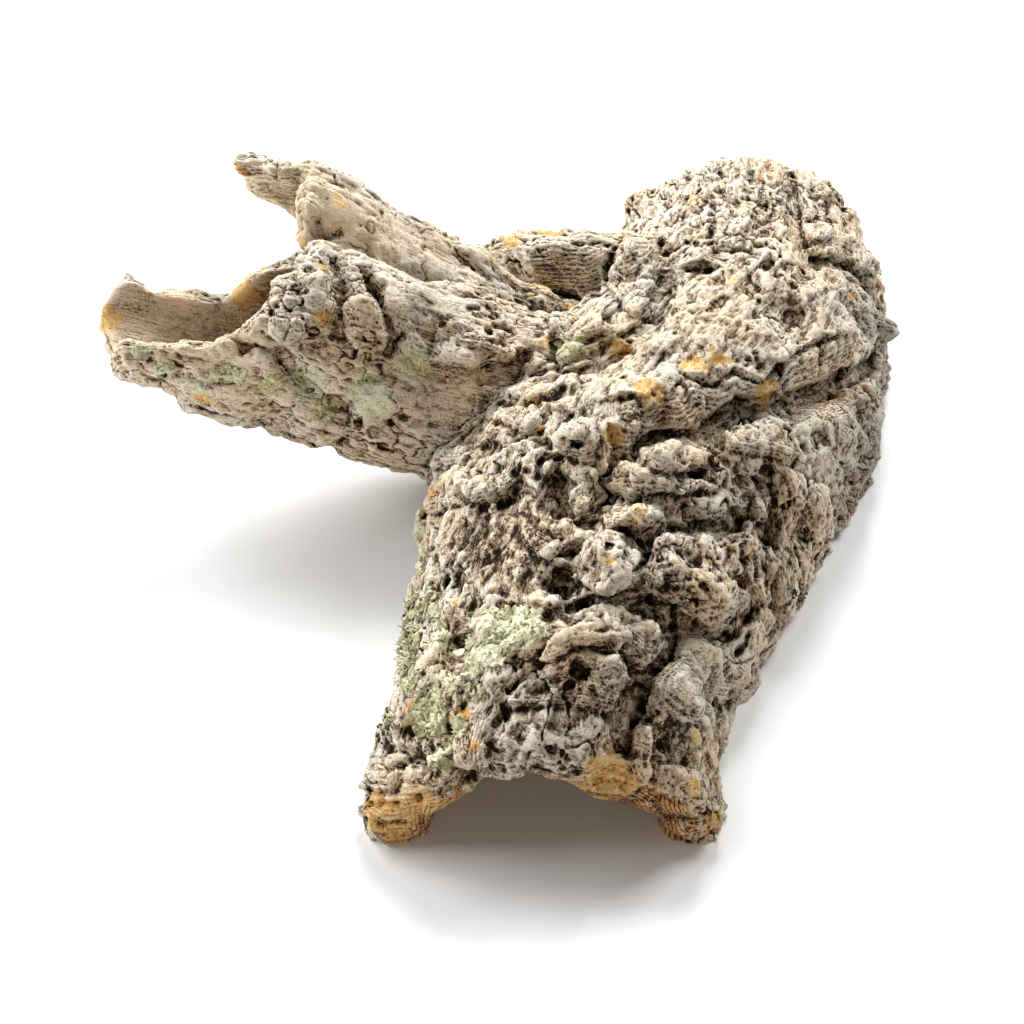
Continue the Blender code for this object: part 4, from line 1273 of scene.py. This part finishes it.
def add_floor():
    bm = bmesh.new()
    bmesh.ops.create_grid(bm, x_segments=4, y_segments=4, size=2.5)
    floor = add_object("floor", mesh_from(bm, "floor"))
    material = bpy.data.materials.new("pale_floor")
    material.use_nodes = True
    shader = material.node_tree.nodes["Principled BSDF"]
    shader.inputs["Base Color"].default_value = FLOOR_COLOUR
    shader.inputs["Roughness"].default_value = 0.6
    floor.data.materials.append(material)


def add_studio():
    """An even world, the lights and the camera."""
    scene = bpy.context.scene
    scene.world = bpy.data.worlds.new("studio")
    scene.world.use_nodes = True
    background = scene.world.node_tree.nodes["Background"]
    background.inputs["Color"].default_value = (*WHITE, 1)
    background.inputs["Strength"].default_value = WORLD_STRENGTH
    scene.view_settings.view_transform = "Standard"
    for name, place, size, power, colour in LIGHTS:
        light = bpy.data.lights.new(name, "AREA")
        light.shape = "SQUARE"
        light.size = size
        light.energy = power
        light.color = colour
        obj = add_object(name, light)
        obj.location = place
        obj.rotation_euler = (LIT_PLACE - obj.location).to_track_quat("-Z", "Y").to_euler()
    camera = bpy.data.cameras.new("camera")
    camera.sensor_width = SENSOR
    camera.lens = FOCAL_PIXELS * SENSOR / PICTURE
    camera.clip_start = 0.01
    scene.camera = add_object("camera", camera)
    scene.camera.location = EYE
    scene.camera.rotation_euler = (math.pi / 2 - LOOKING_DOWN, 0, 0)


def cap(bm, rim, way):
    """Closes a cut with triangles wherever an odd number of its edges lies to the right."""
    across = way.cross(Vector((0, 0, 1)))
    corners = list(dict.fromkeys(corner for edge in rim for corner in edge.verts))
    number = {corner: index for index, corner in enumerate(corners)}
    flat = [Vector((corner.co.dot(across), corner.co.z)) for corner in corners]
    lines = [(number[edge.verts[0]], number[edge.verts[1]]) for edge in rim]
    places, _, faces, sources, _, _ = delaunay_2d_cdt(flat, lines, [], 1, 1e-8)
    middles = np.array([tuple(sum((places[index] for index in face), Vector((0, 0))) / 3) for face in faces])
    for face, kept in zip(faces, oddly_crossed(middles, [(flat[a], flat[b]) for a, b in lines])):
        chosen = [corners[sources[index][0]] for index in face if sources[index]]
        if kept and len(set(chosen)) == 3 and bm.faces.get(chosen) is None:
            triangle = bm.faces.new(chosen)
            triangle.normal_update()
            if triangle.normal.dot(way) > 0:
                triangle.normal_flip()


def halve(mesh, point, way):
    """Cuts a closed mesh by a plane and gives the closed part on the side that way points to."""
    bm = bmesh.new()
    bm.from_mesh(mesh)
    bmesh.ops.bisect_plane(bm, geom=bm.verts[:] + bm.edges[:] + bm.faces[:], dist=0.001 * MM, plane_co=point,
                           plane_no=-way, clear_outer=True)
    cap(bm, [edge for edge in bm.edges if len(edge.link_faces) == 1], way)
    return mesh_from(bm, mesh.name)


def both_sides(mesh, line):
    """The parts of a mesh to the left and to the right of a line seen from above."""
    start, end = (Vector((x - ORIGIN[0], y - ORIGIN[1], 0)) for x, y in line)
    left = Vector((start.y - end.y, end.x - start.x, 0)).normalized()
    return halve(mesh, start, left), halve(mesh, start, -left)


def part_up(mesh):
    """Parts the trunk at the forks and halves its long limbs: each piece's name, node and meshes."""
    put_vector(mesh, "whole_normal", vectors(mesh, "normal"))
    side, rest = both_sides(mesh, LIMB_LINE)
    stub, lower = both_sides(side, LIMB_BACK)
    far, stem = both_sides(rest, FAR_LINE)
    far_far, far_near = both_sides(far, FAR_HALF)
    stem_back, stem_front = both_sides(stem, STEM_HALF)
    return (
        ("stem_front", "stem", (stem_front,)),
        ("stem_back", "stem", (stem_back,)),
        ("far_limb_near_half", "far_limb", (far_near, stub)),
        ("far_limb_far_half", "far_limb", (far_far,)),
        ("lower_side_limb_bark", "lower_side_limb", (lower,)),
    )


def finished(name, node, meshes, bark):
    """A piece of bark: closed, shaded as the whole skin was, and standing for its solid."""
    bm = bmesh.new()
    for mesh in meshes:
        bm.from_mesh(mesh)
    mesh = mesh_from(bm, name)
    mesh.polygons.foreach_set("use_smooth", [True] * len(mesh.polygons))
    if "whole_normal" in mesh.attributes:
        kept = np.empty(len(mesh.vertices) * 3, np.float32)
        mesh.attributes["whole_normal"].data.foreach_get("vector", kept)
        mesh.normals_split_custom_set_from_vertices(kept.reshape(-1, 3).tolist())
    mesh.materials.clear()
    mesh.materials.append(bark)
    obj = add_object(name, mesh)
    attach(obj, "root")
    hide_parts(node)


trunk = build_skin("trunk", ("stem", "far_limb", "lower_side_limb"), (STEM, LOWER_LIMB, STUB),
                   (LOBES, CLIFFS, GROOVES, LEDGES, BUMPS, HOLES), CALM)
upper = build_skin("upper_skin", ("upper_side_limb",), (UPPER_LIMB,),
                   ((), (), UPPER_GROOVES, (), (), UPPER_HOLES), UPPER_CALM)
skins = [trunk.data, upper.data]
bpy.data.objects.remove(trunk)
bpy.data.objects.remove(upper)
add_growths(tree_of(skins))
bark = bark_material()
for name, node, meshes in (*part_up(skins[0]), ("upper_side_limb_bark", "upper_side_limb", skins[1:])):
    finished(name, node, meshes, bark)
add_floor()
add_studio()
